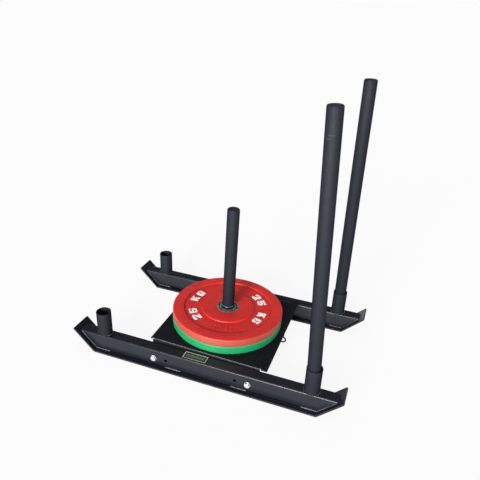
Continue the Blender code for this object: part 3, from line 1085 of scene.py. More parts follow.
@dataclass(frozen=True)
class DressedSheet:
    """A node of the base whose faces are right, with its edges broken and rubbed, and paler as a painted
    highlight.
    """

    node: str
    edge: float = 0.0005
    steps: int = 2
    finish: Finish = Finishes.COAT
    fold_normals: Point2 | None = None
    rubbed_half: float = 0.0006
    flatness: float = 0.3
    smooth: float = 35.0
    broken: float = 40.0

    def build(self) -> None:
        """Builds the piece that stands for the node."""
        mesh = node_mesh(self.node)
        limit = math.radians(self.flatness)
        bmesh.ops.dissolve_limit(mesh, angle_limit=limit, verts=mesh.verts, edges=mesh.edges)
        bmesh.ops.recalc_face_normals(mesh, faces=mesh.faces)
        if self.fold_normals:
            self.rub_folds(mesh)
        finishes = (self.finish, Finishes.EDGE, Finishes.FOLD)
        item = make_piece(
            f"{self.node}_coated",
            mesh,
            Body.BASE,
            finishes,
            replaces=(self.node,),
            smooth=self.smooth,
        )
        bevel = item.modifiers.new("broken_edges", "BEVEL")
        bevel.width = self.edge
        bevel.segments = self.steps
        bevel.limit_method = "ANGLE"
        bevel.angle_limit = math.radians(self.broken)
        bevel.harden_normals = True
        # The bevels take the paler edge finish, partly a painted highlight
        bevel.material = SECOND

    def rub_folds(self, mesh: bmesh.types.BMesh) -> None:
        """Gives a narrow strip along each fold a painted highlight, in a pale rubbed finish.

        Args:
            mesh: The sheet's mesh. The facets in the middle of its folds are cut lengthwise.
        """
        low, high = self.fold_normals
        for fold in [face for face in mesh.faces if low < face.normal.z < high]:
            along = max(fold.edges, key=lambda edge: edge.calc_length())
            across = fold.normal.cross(along.verts[1].co - along.verts[0].co).normalized()
            middle = fold.calc_center_median()
            facets = [fold]
            for side in (-1, 1):
                corners = {corner for facet in facets for corner in facet.verts}
                edges = {edge for facet in facets for edge in facet.edges}
                cut = bmesh.ops.bisect_plane(
                    mesh,
                    geom=[*facets, *edges, *corners],
                    plane_co=middle + across * side * self.rubbed_half,
                    plane_no=across,
                )
                facets = [part for part in cut["geom"] if isinstance(part, bmesh.types.BMFace)]
            strip = min(facets, key=lambda facet: (facet.calc_center_median() - middle).length)
            strip.material_index = THIRD


@dataclass(frozen=True)
class RoundTube:
    """A round tube on an axis, with its lips broken."""

    node: str
    body: Body
    axis: Axis
    finish: Finish = Finishes.TUBE
    sides: int = 96
    lip: float = 0.0006

    def build(self) -> None:
        """Builds the tube that stands for the node."""
        low, high = self.axis.span(self.node)
        inner, outer = self.axis.reach(self.node)
        mesh = revolved(tube_outline(inner, outer, high - low, self.lip), self.sides)
        place = self.axis.matrix(low)
        make_piece(f"{self.node}_tube", mesh, self.body, (self.finish,), place, (self.node,))


@dataclass(frozen=True)
class TubePlug:
    """The moulded plug in one end of a tube, with a crown over the tube's wall and ribs on its stem."""

    node: str
    body: Body
    axis: Axis
    crown: float = CAP_CROWN
    crown_round: float = 0.0062
    dome: float = 0.0014
    downward: bool = False
    sides: int = 96
    seat_round: float = 0.0004
    rib: float = 0.0001
    rib_half: float = 0.0012
    ribs: int = 4
    floor_depth: float = 0.002
    crown_steps: int = 8
    smooth: float = 50.0

    def build(self) -> None:
        """Builds the plug that stands for the node."""
        low, high = self.axis.span(self.node)
        mesh = revolved(self.profile(self.axis.reach(self.node)[1], high - low), self.sides, closed=False)
        place = self.axis.matrix(high - self.crown)
        if self.downward:
            place = self.axis.matrix(low + self.crown) @ Matrix.Rotation(math.pi, 4, "X")
        finishes = (Finishes.PLASTIC,)
        name = f"{self.node}_plug"
        make_piece(name, mesh, self.body, finishes, place, (self.node,), self.smooth)

    def profile(self, outer: float, length: float) -> list[Point2]:
        """Makes the plug's outline.

        Args:
            outer: The crown's radius.
            length: The plug's whole length.

        Returns:
            The (r, z) outline, with the crown above z = 0 and the stem below.
        """
        stem = outer - TUBE_WALL - PLUG_CLEARANCE
        root, hollow = stem - self.rib, stem - TUBE_WALL
        depth = length - self.crown
        outline = [(0.0, -self.floor_depth), (hollow, -self.floor_depth), (hollow, -depth), (root, -depth)]
        for i in range(self.ribs):
            z = -depth + (i + 0.5) * depth / (self.ribs + 0.5)
            outline += [(root, z - self.rib_half), (stem, z), (root, z + self.rib_half)]
        shoulder = [(stem, 0.0), (outer, 0.0), (outer, self.crown - self.dome), (0.0, self.crown)]
        radii = [0.0, self.seat_round, self.crown_round, 0.0]
        return outline + filleted(shoulder, radii, self.crown_steps, closed=False)


@dataclass(frozen=True)
class WeldBead:
    """A weld along a path: overlapping scales on a low round ridge."""

    name: str
    path: tuple[Vector, ...]
    width: float
    looped: bool = False
    finish: Finish = Finishes.WELD
    pitch: float = 0.0042
    around: int = 8
    steps_in_scale: int = 4
    least_steps: int = 8
    least_swell: float = 0.82
    scale_swell: float = 0.30
    scale_fall: float = 1.6
    drifts: tuple[Point3, ...] = ((0.05, 911.0, 0.0), (0.04, 373.0, 1.3))
    end_length: float = 0.9
    end_size: float = 0.22
    crown_height: float = 0.80
    root_depth: float = 0.55
    rounding: float = 1e-9
    smooth: float = 60.0

    def stations(self) -> list[tuple[Vector, Vector, float]]:
        """Finds points along the path, a part of a scale apart.

        Returns:
            Each point with the path's direction there and its distance from the start.
        """
        points = [*self.path, self.path[0]] if self.looped else self.path
        lengths = [(end - start).length for start, end in zip(points, points[1:])]
        total = sum(lengths)
        count = max(self.least_steps, round(total / self.pitch * self.steps_in_scale))
        found = []
        for i in range(count if self.looped else count + 1):
            target = total * i / count
            k, passed = 0, 0.0
            while k < len(lengths) - 1 and passed + lengths[k] < target - self.rounding:
                passed += lengths[k]
                k += 1
            direction = (points[k + 1] - points[k]).normalized()
            share = (target - passed) / lengths[k]
            found.append((points[k].lerp(points[k + 1], share), direction, target))
        return found

    def radius(self, distance: float, total: float) -> float:
        """Finds the bead's radius, which swells over each scale and shrinks at the ends.

        Args:
            distance: How far along the bead.
            total: The bead's length.

        Returns:
            The radius.
        """
        scale = (distance / self.pitch) % 1.0
        swell = self.least_swell + self.scale_swell * scale * math.exp(1.0 - self.scale_fall * scale)
        swell += sum(size * math.sin(distance * waves + shift) for size, waves, shift in self.drifts)
        if self.looped:
            return self.width / 2 * swell
        from_end = min(distance, total - distance) / (self.width * self.end_length)
        return self.width / 2 * swell * max(self.end_size, min(1.0, math.sqrt(max(from_end, 0.0))))

    def build(self, outward: Vector) -> None:
        """Makes the bead.

        Args:
            outward: The direction that the middle of the bead's ridge faces.
        """
        mesh = bmesh.new()
        rings = []
        stations = self.stations()
        total = stations[-1][2]
        for place, direction, distance in stations:
            radius = self.radius(distance, total)
            across = direction.cross(outward).normalized()
            up = across.cross(direction).normalized()
            ring = []
            for angle in turns(self.around):
                flat = self.crown_height if math.sin(angle) > 0 else self.root_depth
                beside, above = radius * math.cos(angle), radius * flat * math.sin(angle)
                ring.append(mesh.verts.new(place + across * beside + up * above))
            rings.append(ring)
        if not self.looped:
            mesh.faces.new(rings[0])
            mesh.faces.new(rings[-1])
        skin(mesh, rings, self.looped)
        make_piece(self.name, mesh, Body.BASE, (self.finish,), smooth=self.smooth)


@dataclass(frozen=True)
class Rails:
    """The rails on their skids, the sockets on them, and the welds between these."""

    gauge: float = 0.520
    rail_width: float = 0.048
    rail_top: float = 0.0743
    corner: float = 0.005
    skid_edge: float = 0.0007
    rail_edge: float = 0.0004
    socket_lip: float = 0.0007
    ring_weld: float = 0.0042
    ring_gap: float = 0.0008
    ring_steps: int = 24
    weld_lift: float = 0.0012
    edge_weld: float = 0.0044
    edge_weld_half: float = 0.013
    edge_weld_out: float = 0.0004
    edge_weld_drop: float = 0.0018
    edge_weld_slope: float = 0.35
    mitre_weld: float = 0.0040
    mitre_foot: Point2 = (0.4485, 0.0078)
    mitre_top_gap: float = 0.003
    mitre_out: float = 0.0006
    top_weld: float = 0.0042
    top_lift: float = 0.0042
    stitch_weld: float = 0.0056
    stitch_in: float = 0.0004
    stitch_slope: float = 0.8
    skid_thickness: float = 0.006
    stitches: tuple[Point2, ...] = ((-0.461, -0.388), (-0.145, -0.077), (0.124, 0.187), (0.389, 0.450))

    def build(self) -> None:
        """Builds both sides."""
        for side in Side:
            DressedSheet(f"skid_{side.label}", self.skid_edge, steps=3).build()
            DressedSheet(f"rail_{side.label}", self.rail_edge).build()
            for end in End:
                self.socket(f"socket_{end.label}_{side.label}")
                self.mitre_welds(end, side)
            self.stitch_welds(side)

    def socket(self, node: str) -> None:
        """Builds one socket tube with the welds at its foot.

        Args:
            node: The socket's node.
        """
        low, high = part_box(node)
        middle = (low + high) / 2
        axis = Axis(Vector((middle.x, middle.y, low.z)), UP)
        RoundTube(node, Body.BASE, axis, lip=self.socket_lip).build()
        radius = (high.x - low.x) / 2 + self.ring_gap
        centre = (middle.x, middle.y, self.rail_top + self.weld_lift)
        limit = math.asin((self.rail_width / 2 - self.corner) / radius)
        half_steps = self.ring_steps / 2
        for label, facing in (("rear", 0.0), ("front", math.pi)):
            angles = [facing + limit * (i / half_steps - 1) for i in range(self.ring_steps + 1)]
            arc = ring_points(centre, radius, angles)
            WeldBead(f"weld_{node}_{label}", arc, self.ring_weld).build(UP)
        z = self.rail_top - self.edge_weld_drop
        for label, across in (("near", -1), ("far", 1)):
            y = middle.y + across * (self.rail_width / 2 + self.edge_weld_out)
            line = tuple(Vector((middle.x + sign * self.edge_weld_half, y, z)) for sign in (-1, 1))
            outward = Vector((0, across, self.edge_weld_slope))
            WeldBead(f"weld_{node}_{label}", line, self.edge_weld).build(outward)

    def mitre_welds(self, end: End, side: Side) -> None:
        """Builds the welds between a rail's mitred end and the raised end of its skid.

        Args:
            end: The rail's end.
            side: The rail's side.
        """
        name = f"weld_mitre_{end.label}_{side.label}"
        along, across = end.value, side.value
        slope = Vector((along, 0, 1)).normalized()
        inward = Vector((-along, 0, 1)).normalized()
        foot = Vector((along * self.mitre_foot[0], across * self.gauge / 2, self.mitre_foot[1]))
        rise = (self.rail_top - foot.z - self.mitre_top_gap) / slope.z
        for label, reach in (("inner", -1), ("outer", 1)):
            start = foot + Vector((0, across * reach * (self.rail_width / 2 + self.mitre_out), 0))
            outward = (Vector((0, across * reach, 0)) + inward).normalized()
            WeldBead(f"{name}_{label}", (start, start + slope * rise), self.mitre_weld).build(outward)
        top = foot + slope * (rise + self.top_lift)
        half = Vector((0, self.rail_width / 2 - self.corner, 0))
        path = (top - half, top + half)
        WeldBead(f"{name}_top", path, self.top_weld, finish=Finishes.COAT).build(inward)

    def stitch_welds(self, side: Side) -> None:
        """Builds the short welds along a rail's foot, on both of its sides.

        Args:
            side: The rail's side.
        """
        z = self.skid_thickness + self.weld_lift
        for label, reach in (("outer", 1), ("inner", -1)):
            y = side.value * (self.gauge / 2 + reach * (self.rail_width / 2 - self.stitch_in))
            outward = Vector((0, side.value * reach, self.stitch_slope)).normalized()
            for i, ends in enumerate(self.stitches):
                path = tuple(Vector((x, y, z)) for x in ends)
                name = f"weld_skid_{side.label}_{label}_{i + 1}"
                WeldBead(name, path, self.stitch_weld).build(outward)


@dataclass(frozen=True)
class Platform:
    """The folded platform, the tow eye under it and the eye's weld."""

    # Facets whose normals lie in this range carry the painted highlight along the fold
    fold_normals: Point2 = (0.60, 0.80)
    edge: float = 0.0005
    eye_weld: float = 0.0030
    eye_weld_radius: float = 0.0046
    eye_weld_drop: float = 0.0008
    eye_weld_sides: int = 24
    eye_smooth: float = 60.0

    def build(self) -> None:
        """Builds the platform's pieces."""
        sheet = DressedSheet("platform", self.edge, 3, Finishes.SHEET, fold_normals=self.fold_normals)
        sheet.build()
        make_piece(
            "tow_eye_coated",
            node_mesh("tow_eye"),
            Body.BASE,
            (Finishes.SHEET,),
            replaces=("tow_eye",),
            smooth=self.eye_smooth,
        )
        low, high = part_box("tow_eye")
        centre = ((low.x + high.x) / 2, 0.0, high.z - self.eye_weld_drop)
        circle = ring_points(centre, self.eye_weld_radius, turns(self.eye_weld_sides))
        WeldBead("weld_tow_eye", circle, self.eye_weld, looped=True).build(-UP)


@dataclass(frozen=True)
class Fastener:
    """A hexagon bolt through a rail and the platform's flange, with its washers and nut."""

    end: End
    side: Side
    across_flats: float = 0.019
    chamfer_radius: float = 0.0084
    chamfer_angle: float = 30.0
    head_sides: int = 72
    head_height: float = 0.0075
    centre_radius: float = 1e-4
    size: float = 0.012
    thread_pitch: float = 0.00175
    thread_depth: float = 0.0007
    threaded: float = 0.026
    tip: float = 0.001
    shank_sides: int = 32
    nut_gap: float = 0.0003
    washer_gap: float = 0.0005
    washer_lip: float = 0.0005
    washer_sides: int = 64
    front_spin: float = 17.0
    rear_spin: float = 41.0
    smooth: float = 32.0

    def hexagon(self, low: float, high: float, bore: float) -> bmesh.types.BMesh:
        """Makes a hexagon head or nut whose corners are turned off to a cone.

        Args:
            low: Its lower face's height.
            high: Its upper face's height.
            bore: Radius of a nut's hole, or 0 for a head, whose lower corners stay sharp.

        Returns:
            The mesh.
        """
        mesh = bmesh.new()
        crown, hole = self.chamfer_radius, max(bore, self.centre_radius)
        columns = []
        for angle in turns(self.head_sides):
            off = (angle + math.pi / 6) % (math.pi / 3) - math.pi / 6
            radius = self.across_flats / 2 / math.cos(off)
            fall = max(0.0, radius - crown) * math.tan(math.radians(self.chamfer_angle))
            lower = [(crown, low), (radius, low + fall)] if bore > 0 else [(radius, low), (radius, low)]
            profile = [(hole, low), *lower, (radius, high - fall), (crown, high), (hole, high)]
            cosine, sine = math.cos(angle), math.sin(angle)
            columns.append([mesh.verts.new((r * cosine, r * sine, z)) for r, z in profile])
        rings = list(zip(*columns))
        if bore <= 0:
            mesh.faces.new(rings[0])
            mesh.faces.new(rings[-1])
        skin(mesh, rings, bore > 0)
        bmesh.ops.remove_doubles(mesh, verts=mesh.verts, dist=MERGE_DISTANCE)
        bmesh.ops.recalc_face_normals(mesh, faces=mesh.faces)
        return mesh

    def shank(self, length: float) -> bmesh.types.BMesh:
        """Makes the shank with its thread as rings.

        Args:
            length: The shank's length.

        Returns:
            The mesh, from z = 0 up to its length.
        """
        radius = self.size / 2
        profile = [(0.0, 0.0), (radius - self.tip, 0.0)]
        z = self.tip
        while z < self.threaded:
            profile += [(radius, z), (radius - self.thread_depth, z + self.thread_pitch / 2)]
            z += self.thread_pitch
        profile += [(radius, z), (radius, length), (0.0, length)]
        return revolved(profile, self.shank_sides, closed=False)

    def build(self) -> None:
        """Builds the bolt, its washers and its nut."""
        across = self.side.value
        outward = Matrix.Rotation(-across * math.pi / 2, 4, "X")
        angle = self.front_spin if self.end is End.FRONT else self.rear_spin
        spin = Matrix.Rotation(math.radians(angle), 4, "Z")
        for kind in ("bolt", "head_washer", "nut_washer", "nut"):
            node = f"{kind}_{self.end.label}_{self.side.label}"
            low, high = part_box(node)
            middle = (low + high) / 2
            length = high.y - low.y
            start = low.y if across > 0 else high.y
            place = Matrix.Translation((middle.x, start, middle.z)) @ outward
            if kind == "bolt":
                mesh = self.hexagon(length - self.head_height, length, 0.0)
                take_in(mesh, self.shank(length - self.head_height))
                place = place @ spin
            elif kind == "nut":
                mesh = self.hexagon(0.0, length, self.size / 2 + self.nut_gap)
                place = place @ spin
            else:
                bore = self.size / 2 + self.washer_gap
                outline = tube_outline(bore, (high.x - low.x) / 2, length, self.washer_lip)
                mesh = revolved(outline, self.washer_sides)
            finishes = (Finishes.ZINC,)
            name = f"{node}_zinc"
            make_piece(name, mesh, Body.BASE, finishes, place, (node,), self.smooth)


@dataclass(frozen=True)
class Label:
    """The bare label on the left rail, with rounded corners and a raised rim under its printed border."""

    node: str = "label_plate"
    corner: float = 0.0025
    corner_steps: int = 5
    edge: float = 0.00015
    rim_width: float = 0.0028
    rim_foot: float = 0.0031
    rim_height: float = 0.0002
    smooth: float = 25.0

    def build(self) -> None:
        """Builds the plate that stands for the node."""
        low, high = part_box(self.node)
        middle, half = (low + high) / 2, (high - low) / 2
        corners = [(low.x, low.y), (high.x, low.y), (high.x, high.y), (low.x, high.y)]
        outline = filleted(corners, [self.corner] * 4, self.corner_steps)
        levels = (
            (0.0, low.z),
            (0.0, high.z - self.edge),
            (self.edge, high.z),
            (self.rim_width, high.z),
            (self.rim_foot, high.z - self.rim_height),
        )
        mesh = bmesh.new()
        loops = []
        for inset, z in levels:
            wide, deep = (half.x - inset) / half.x, (half.y - inset) / half.y
            loop = []
            for x, y in outline:
                inner_x = middle.x + (x - middle.x) * wide
                inner_y = middle.y + (y - middle.y) * deep
                loop.append(mesh.verts.new((inner_x, inner_y, z)))
            loops.append(loop)
        mesh.faces.new(loops[0])
        mesh.faces.new(loops[-1])
        skin(mesh, loops, False)
        face = PrintedPlate("printed_label_face", (middle.x, middle.y), (half.x, half.y))
        make_piece(
            "label_plate_printed",
            mesh,
            Body.BASE,
            (face,),
            replaces=(self.node,),
            smooth=self.smooth,
        )


@dataclass(frozen=True)
class PushPole:
    """A push pole with its two plugs."""

    side: Side
    body: Body
    finish: Finish
    foot_round: float = 0.0008

    def build(self) -> None:
        """Builds the pole's pieces on its own leaning axis."""
        side, body = self.side.label, self.body
        axis = Axis.of(f"push_pole_{side}")
        RoundTube(f"push_pole_{side}", body, axis, self.finish).build()
        TubePlug(f"pole_cap_{side}", body, axis).build()
        foot = TubePlug(
            f"pole_foot_{side}",
            body,
            axis,
            crown=FOOT_FLANGE,
            crown_round=self.foot_round,
            dome=0.0,
            downward=True,
        )
        foot.build()


@dataclass(frozen=True)
class LoadingPost:
    """The post on the platform, its plug, the weld at its foot and the loose collar."""

    axis: Axis
    weld_width: float = 0.0012
    weld_gap: float = 0.0003
    weld_lift: float = 0.0003
    weld_sides: int = 48
    collar_lip: float = 0.0021
    collar_rounds: Point2 = (0.0006, 0.0008)
    collar_steps: int = 6
    collar_sides: int = 96

    def build(self) -> None:
        """Builds the post's pieces."""
        RoundTube("weight_post", Body.BASE, self.axis).build()
        TubePlug("post_cap", Body.BASE, self.axis).build()
        self.collar()
        radius = self.axis.reach("weight_post")[1] + self.weld_gap
        level = ring_points((0.0, 0.0, self.weld_lift), radius, turns(self.weld_sides))
        place = self.axis.matrix()
        circle = tuple(place @ point for point in level)
        WeldBead("weld_post_foot", circle, self.weld_width, looped=True).build(self.axis.direction)

    def collar(self) -> None:
        """Builds the loose collar, with its upper lip rounded, rubbed, and pale as a painted highlight."""
        node = "post_collar"
        low, high = self.axis.span(node)
        inner, outer = self.axis.reach(node)
        tall = high - low
        corners = [(inner, 0.0), (outer, 0.0), (outer, tall), (inner, tall)]
        bore_round, foot_round = self.collar_rounds
        radii = [bore_round, foot_round, self.collar_lip, bore_round]
        mesh = revolved(filleted(corners, radii, self.collar_steps), self.collar_sides)
        # The lip's faces take the pale finish, a painted highlight with some rubbing
        for face in mesh.faces:
            if face.calc_center_median().z > tall - self.collar_lip:
                face.material_index = SECOND
        finishes = (Finishes.GLOSS, Finishes.LIP)
        place = self.axis.matrix(low)
        make_piece("post_collar_ring", mesh, Body.COLLAR, finishes, place, (node,))


@dataclass(frozen=True)
class BumperPlate:
    """A bumper plate: a rubber disc with raised marks, and the steel ring in its middle."""

    colour: str
    body: Body
    rubber: SolidRubber
    slot: Slot
    axis: Axis
    weight: str
    in_pounds: str
    sides: int = 192
    rim_round: float = 0.0048
    rim_width: float = 0.045
    boss_radius: float = 0.108
    bore_round: float = 0.0006
    field_depth: float = 0.0040
    field_wall: float = 0.0012
    edge_round: float = 0.0009
    crease: float = 0.0012
    rim_crease: float = 1.5
    crease_rounds: Point2 = (0.0002, 0.0003)
    parting_line: float = 0.0003
    parting_slope: float = 0.0005
    hub_sides: int = 128
    hub_rounds: Point2 = (0.0004, 0.0016)
    groove_radius: float = 0.0362
    groove_half: float = 0.0021
    groove_foot: float = 0.6
    groove_depth: float = 0.0014
    groove_shade: float = 0.3
    round_steps: int = 6
    hub_steps: int = 4
    smooth: float = 30.0

    def build(self) -> None:
        """Builds the plate's pieces."""
        node = f"{self.colour}_plate"
        low, high = self.axis.span(node)
        bore, outer = self.axis.reach(node)
        thickness = high - low
        place = self.axis.matrix(low)
        disc = revolved(self.disc_outline(bore, outer, thickness), self.sides)
        name = f"{node}_rubber"
        make_piece(name, disc, self.body, (self.rubber,), place, (node,), self.smooth)
        self.hub(f"{self.colour}_hub")
        marks = RaisedMarks(self)
        for face, turned in (("top", Matrix()), ("underside", Matrix.Rotation(math.pi, 4, "X"))):
            to_middle = Matrix.Translation((0, 0, thickness / 2))
            flip = to_middle @ turned @ to_middle.inverted()
            marks.build(face, place @ flip, thickness - self.field_depth)

    def disc_outline(self, bore: float, outer: float, thickness: float) -> list[Point2]:
        """Makes the disc's outline.

        Args:
            bore: Radius of the seat of the steel ring.
            outer: Radius of the rim.
            thickness: The disc's thickness.

        Returns:
            The (r, z) outline, from z = 0.
        """
        rim, boss = outer - self.rim_width, self.boss_radius
        wall, depth, crease = self.field_wall, self.field_depth, self.crease
        lower = [
            (bore, 0.0),
            (boss, 0.0),
            (boss + wall, depth + crease / 2),
            (boss + wall + crease, depth),
            (rim - wall - self.rim_crease * crease, depth),
            (rim - wall, depth + crease),
            (rim, 0.0),
            (outer - self.parting_line, 0.0),
        ]
        sharp, soft = self.crease_rounds
        radii = [self.bore_round, self.edge_round, sharp, soft, soft, sharp, self.edge_round, self.rim_round]
        half, line = thickness / 2, self.parting_line
        middle = [
            (outer - line, half - line - self.parting_slope),
            (outer, half - line),
            (outer, half + line),
            (outer - line, half + line + self.parting_slope),
        ]
        upper = [(r, thickness - z) for r, z in reversed(lower)]
        corners = lower + middle + upper
        return filleted(corners, radii + [0] * len(middle) + radii[::-1], self.round_steps)

    def hub(self, node: str) -> None:
        """Builds the steel ring, with a turned groove in each face, whose sunk faces take a painted shade.

        Args:
            node: The ring's node.
        """
        low, high = self.axis.span(node)
        bore, outer = self.axis.reach(node)
        thickness = high - low
        groove, half, depth = self.groove_radius, self.groove_half, self.groove_depth
        lower = [
            (outer, 0.0),
            (groove + half, 0.0),
            (groove + half * self.groove_foot, depth),
            (groove - half * self.groove_foot, depth),
            (groove - half, 0.0),
            (bore, 0.0),
        ]
        outer_round, bore_round = self.hub_rounds
        radii = [outer_round, 0, 0, 0, 0, bore_round]
        upper = [(r, thickness - z) for r, z in reversed(lower)]
        outline = filleted(lower + upper, radii + radii[::-1], self.hub_steps)
        mesh = revolved(outline, self.hub_sides)
        # The groove's sunk faces take the dark finish, a painted shade
        for face in mesh.faces:
            middle = face.calc_center_median()
            sunk = min(middle.z, thickness - middle.z) > depth * self.groove_shade
            if sunk and abs(math.hypot(middle.x, middle.y) - groove) < half:
                face.material_index = SECOND
        finishes = (Finishes.HUB, Finishes.GROOVE)
        place = self.axis.matrix(low)
        make_piece(f"{node}_ring", mesh, self.body, finishes, place, (node,), self.smooth)


class BlockGlyphs:
    """Heavy block figures and letters with cut corners, drawn in a unit box."""

    STROKE = 0.32
    BAR = 0.21
    CUT = (0.16, 0.11)

    @classmethod
    def loops(cls, character: str) -> list[list[Point2]]:
        """Draws a glyph.

        Args:
            character: The character.

        Returns:
            Loops of points from (0, 0) to (1, 1): the outline, and after it those of its holes.
        """
        left, right = cls.STROKE, 1 - cls.STROKE
        low, high = cls.BAR, 1 - cls.BAR
        west, south = cls.CUT
        east, north = 1 - west, 1 - south
        window = [(left, low), (left, high), (right, high), (right, low)]
        drawn = {
            "0": [
                [(west, 0), (east, 0), (1, south), (1, north), (east, 1), (west, 1), (0, north), (0, south)],
                window,
            ],
            "1": [[(left, 0), (right, 0), (right, 1), (0.42, 1), (0.14, 0.82), (0.14, 0.62), (left, 0.74)]],
            "2": [
                [(0, 0), (1, 0), (1, low), (0.46, low), (1, 0.50), (1, north), (east, 1), (west, 1)]
                + [(0, north), (0, 0.66), (left, 0.66), (left, high), (right, high), (right, 0.57), (0, low)]
            ],
            "5": [
                [(0, south), (west, 0), (east, 0), (1, south), (1, 0.52), (east, 0.63), (left, 0.63)]
                + [(left, high), (1, high), (1, 1), (0, 1), (0, 0.42), (right, 0.42), (right, low)]
                + [(left, low), (left, 0.32), (0, 0.32)]
            ],
            "K": [
                [(0, 0), (left, 0), (left, 0.34), (0.41, 0.43), (0.64, 0), (1, 0), (0.63, 0.60), (1, 1)]
                + [(0.62, 1), (left, 0.64), (left, 1), (0, 1)]
            ],
            "G": [
                [(west, 0), (east, 0), (1, south), (1, 0.56), (0.53, 0.56), (0.53, 0.37), (right, 0.37)]
                + [(right, low), (left, low), (left, high), (right, high), (right, 0.69), (1, 0.69)]
                + [(1, north), (east, 1), (west, 1), (0, north), (0, south)]
            ],
            "L": [[(0, 0), (1, 0), (1, low), (left, low), (left, 1), (0, 1)]],
            "B": [
                [(0, 0), (east, 0), (1, south), (1, 0.43), (0.92, 0.50), (1, 0.57), (1, north), (east, 1)]
                + [(0, 1)],
                [(left, 0.19), (left, 0.41), (right, 0.41), (right, 0.19)],
                [(left, 0.59), (left, 0.81), (right, 0.81), (right, 0.59)],
            ],
        }
        return drawn[character]


@dataclass(frozen=True)
class MarkRow:
    """A row of raised glyphs round a plate's middle, with its foot inwards."""

    text: str
    angle: float
    foot: float
    height: float
    width: float
    step: float
    depth: float
    edge: float = 0.0003

    def glyph(self, character: str) -> bmesh.types.BMesh:
        """Makes one upright glyph, centred on x = 0, with its foot at y = 0 and standing on z = 0.

        Args:
            character: The character.

        Returns:
            The mesh.
        """
        curve = bpy.data.curves.new("glyph", "CURVE")
        curve.dimensions = "2D"
        curve.fill_mode = "BOTH"
        curve.extrude = self.depth / 2 - self.edge
        curve.bevel_depth = self.edge
        curve.bevel_resolution = 1
        curve.offset = -self.edge
        for loop in BlockGlyphs.loops(character):
            spline = curve.splines.new("POLY")
            spline.points.add(len(loop) - 1)
            spline.use_cyclic_u = True
            for point, (x, y) in zip(spline.points, loop):
                point.co = ((x - 0.5) * self.width, y * self.height, 0.0, 1.0)
        item = bpy.data.objects.new("glyph", curve)
        bpy.context.scene.collection.objects.link(item)
        bpy.context.view_layer.update()
        drawn = item.evaluated_get(bpy.context.evaluated_depsgraph_get()).to_mesh()
        mesh = bmesh.new()
        mesh.from_mesh(drawn)
        item.to_mesh_clear()
        bpy.data.objects.remove(item)
        bpy.data.curves.remove(curve)
        bmesh.ops.remove_doubles(mesh, verts=mesh.verts, dist=MERGE_DISTANCE)
        bmesh.ops.translate(mesh, verts=mesh.verts, vec=(0, 0, self.depth / 2))
        return mesh

    def build(self) -> bmesh.types.BMesh:
        """Makes the whole row, bent round the plate's middle.

        Returns:
            The mesh.
        """
        whole = bmesh.new()
        middle = (len(self.text) - 1) / 2
        centre = self.foot + self.height / 2
        for i, character in enumerate(self.text):
            if character == " ":
                continue
            mesh = self.glyph(character)
            turn = math.radians(self.angle - (i - middle) * self.step)
            for vertex in mesh.verts:
                x, y, z = vertex.co
                angle, radius = turn - x / centre, self.foot + y
                vertex.co = (radius * math.cos(angle), radius * math.sin(angle), z)
            take_in(whole, mesh)
        return whole


@dataclass(frozen=True)
class RaisedMarks:
    """The weight marks of a plate: raised and painted white twice, and in two small unpainted rows."""

    plate: BumperPlate
    angles: Point2 = (18.0, 198.0)
    foot: float = 0.1290
    tall: float = 0.0330
    wide: float = 0.0290
    step: float = 17.6
    height: float = 0.0020
    small_angle: float = -77.0
    small_rows: tuple[Point2, ...] = ((0.1270, 0.0135), (0.1465, 0.0165))
    small_wide: float = 0.0135
    small_step: float = 6.6
    small_height: float = 0.0007
    sunk: float = 0.0004
    smooth: float = 35.0

    def build(self, face: str, place: Matrix, field: float) -> None:
        """Makes the marks of one face of the plate.

        Args:
            face: The face's name.
            place: Where the plate stands, turned for the face.
            field: The height of the face's field.
        """
        plate = self.plate
        stand = place @ Matrix.Translation((0, 0, field - self.sunk))
        name = f"{plate.colour}_plate_{face}"
        deep = self.height + self.sunk
        for i, angle in enumerate(self.angles):
            row = MarkRow(plate.weight, angle, self.foot, self.tall, self.wide, self.step, deep)
            self.lay(row, f"{name}_numerals_{i + 1}", Finishes.NUMERALS, stand)
        deep = self.small_height + self.sunk
        texts = (plate.in_pounds, plate.weight)
        for label, text, (foot, tall) in zip(("inner", "outer"), texts, self.small_rows):
            row = MarkRow(text, self.small_angle, foot, tall, self.small_wide, self.small_step, deep)
            self.lay(row, f"{name}_relief_{label}", plate.rubber, stand)

    def lay(self, row: MarkRow, name: str, finish: Finish, stand: Matrix) -> None:
        """Makes a row's piece, of a finish of its own, where it stands."""
        plate = self.plate
        make_piece(name, row.build(), plate.body, (finish,), stand, smooth=self.smooth)


# The studio


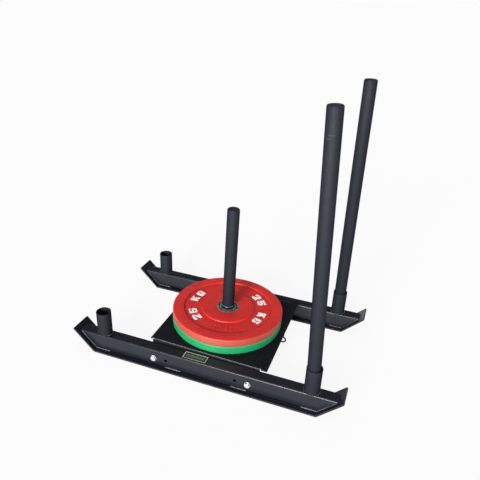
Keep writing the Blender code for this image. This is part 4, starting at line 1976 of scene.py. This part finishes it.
@dataclass(frozen=True)
class Studio:
    """The floor, the sky, the key light and the camera, whose place and turn are the photograph's."""

    floor_reach: float = 300.0
    floor_cells: int = 8
    sky: tuple[Point2, ...] = ((0.0, 0.98), (0.22, 0.98), (0.28, 0.04), (0.68, 0.04), (0.90, 0.95))
    key_azimuth: float = 265.0
    key_elevation: float = 16.0
    key_strength: float = 5.3
    key_spread: float = 23.0
    key_distance: float = 4.0
    lens: float = 36.825
    sensor: float = 36.0
    clip: Point2 = (0.05, 2000.0)
    eye: Point3 = (0.5760, -1.5816, 1.3021)
    right: Point3 = (0.9392, 0.3407, 0.0419)
    up: Point3 = (-0.1885, 0.4098, 0.8925)
    back: Point3 = (0.2869, -0.8461, 0.4492)

    def build(self) -> None:
        """Builds the studio."""
        self.floor()
        self.world()
        self.key_light()
        self.camera()
        bpy.context.scene.view_settings.view_transform = "Standard"

    def floor(self) -> None:
        """Lays the floor."""
        mesh = bmesh.new()
        cells = self.floor_cells
        bmesh.ops.create_grid(mesh, x_segments=cells, y_segments=cells, size=self.floor_reach)
        data = bpy.data.meshes.new("studio_floor")
        mesh.to_mesh(data)
        mesh.free()
        data.materials.append(Finishes.get(Finishes.FLOOR))
        floor = bpy.data.objects.new("studio_floor", data)
        bpy.context.scene.collection.objects.link(floor)

    def world(self) -> None:
        """Makes the sky: a pale wall up to a low height, dim above it, and bright overhead."""
        world = bpy.data.worlds.new("studio_sky")
        bpy.context.scene.world = world
        world.use_nodes = True
        tree = world.node_tree
        tree.nodes.clear()
        place = tree.nodes.new("ShaderNodeTexCoord")
        split = tree.nodes.new("ShaderNodeSeparateXYZ")
        level = grey_ramp(tree, self.sky)
        sky = tree.nodes.new("ShaderNodeBackground")
        output = tree.nodes.new("ShaderNodeOutputWorld")
        tree.links.new(place.outputs["Generated"], split.inputs["Vector"])
        tree.links.new(split.outputs["Z"], level.inputs["Fac"])
        tree.links.new(level.outputs["Color"], sky.inputs["Color"])
        tree.links.new(sky.outputs["Background"], output.inputs["Surface"])

    def key_light(self) -> None:
        """Hangs a broad soft sun in front of the sled."""
        light = bpy.data.lights.new("key_light", "SUN")
        light.energy = self.key_strength
        light.angle = math.radians(self.key_spread)
        lamp = bpy.data.objects.new("key_light", light)
        bpy.context.scene.collection.objects.link(lamp)
        azimuth, elevation = math.radians(self.key_azimuth), math.radians(self.key_elevation)
        level = math.cos(elevation)
        source = Vector((level * math.cos(azimuth), level * math.sin(azimuth), math.sin(elevation)))
        lamp.rotation_euler = source.to_track_quat("Z", "Y").to_euler()
        lamp.location = source * self.key_distance

    def camera(self) -> None:
        """Sets the camera at the photograph's place."""
        data = bpy.data.cameras.new("camera")
        data.lens = self.lens
        data.sensor_width = self.sensor
        data.clip_start, data.clip_end = self.clip
        camera = bpy.data.objects.new("camera", data)
        bpy.context.scene.collection.objects.link(camera)
        turn = Matrix((self.right, self.up, self.back)).transposed().to_4x4()
        camera.matrix_world = Matrix.Translation(self.eye) @ turn
        bpy.context.scene.camera = camera


def main() -> None:
    """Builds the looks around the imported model."""
    logging.basicConfig(level=logging.INFO, format="%(name)s: %(message)s")
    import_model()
    Studio().build()
    Rails().build()
    Platform().build()
    for end in End:
        for side in Side:
            Fastener(end, side).build()
    Label().build()
    PushPole(Side.LEFT, Body.POLE_LEFT, Finishes.SCUFFED).build()
    PushPole(Side.RIGHT, Body.POLE_RIGHT, Finishes.TUBE).build()
    post = Axis.of("weight_post")
    LoadingPost(post).build()
    BumperPlate("green", Body.GREEN_PLATE, Finishes.GREEN, Slot.GREEN, post, "10 KG", "22 LB").build()
    BumperPlate("red", Body.RED_PLATE, Finishes.RED, Slot.RED, post, "25 KG", "55 LB").build()
    bpy.context.view_layer.update()


if __name__ == "__main__":
    main()
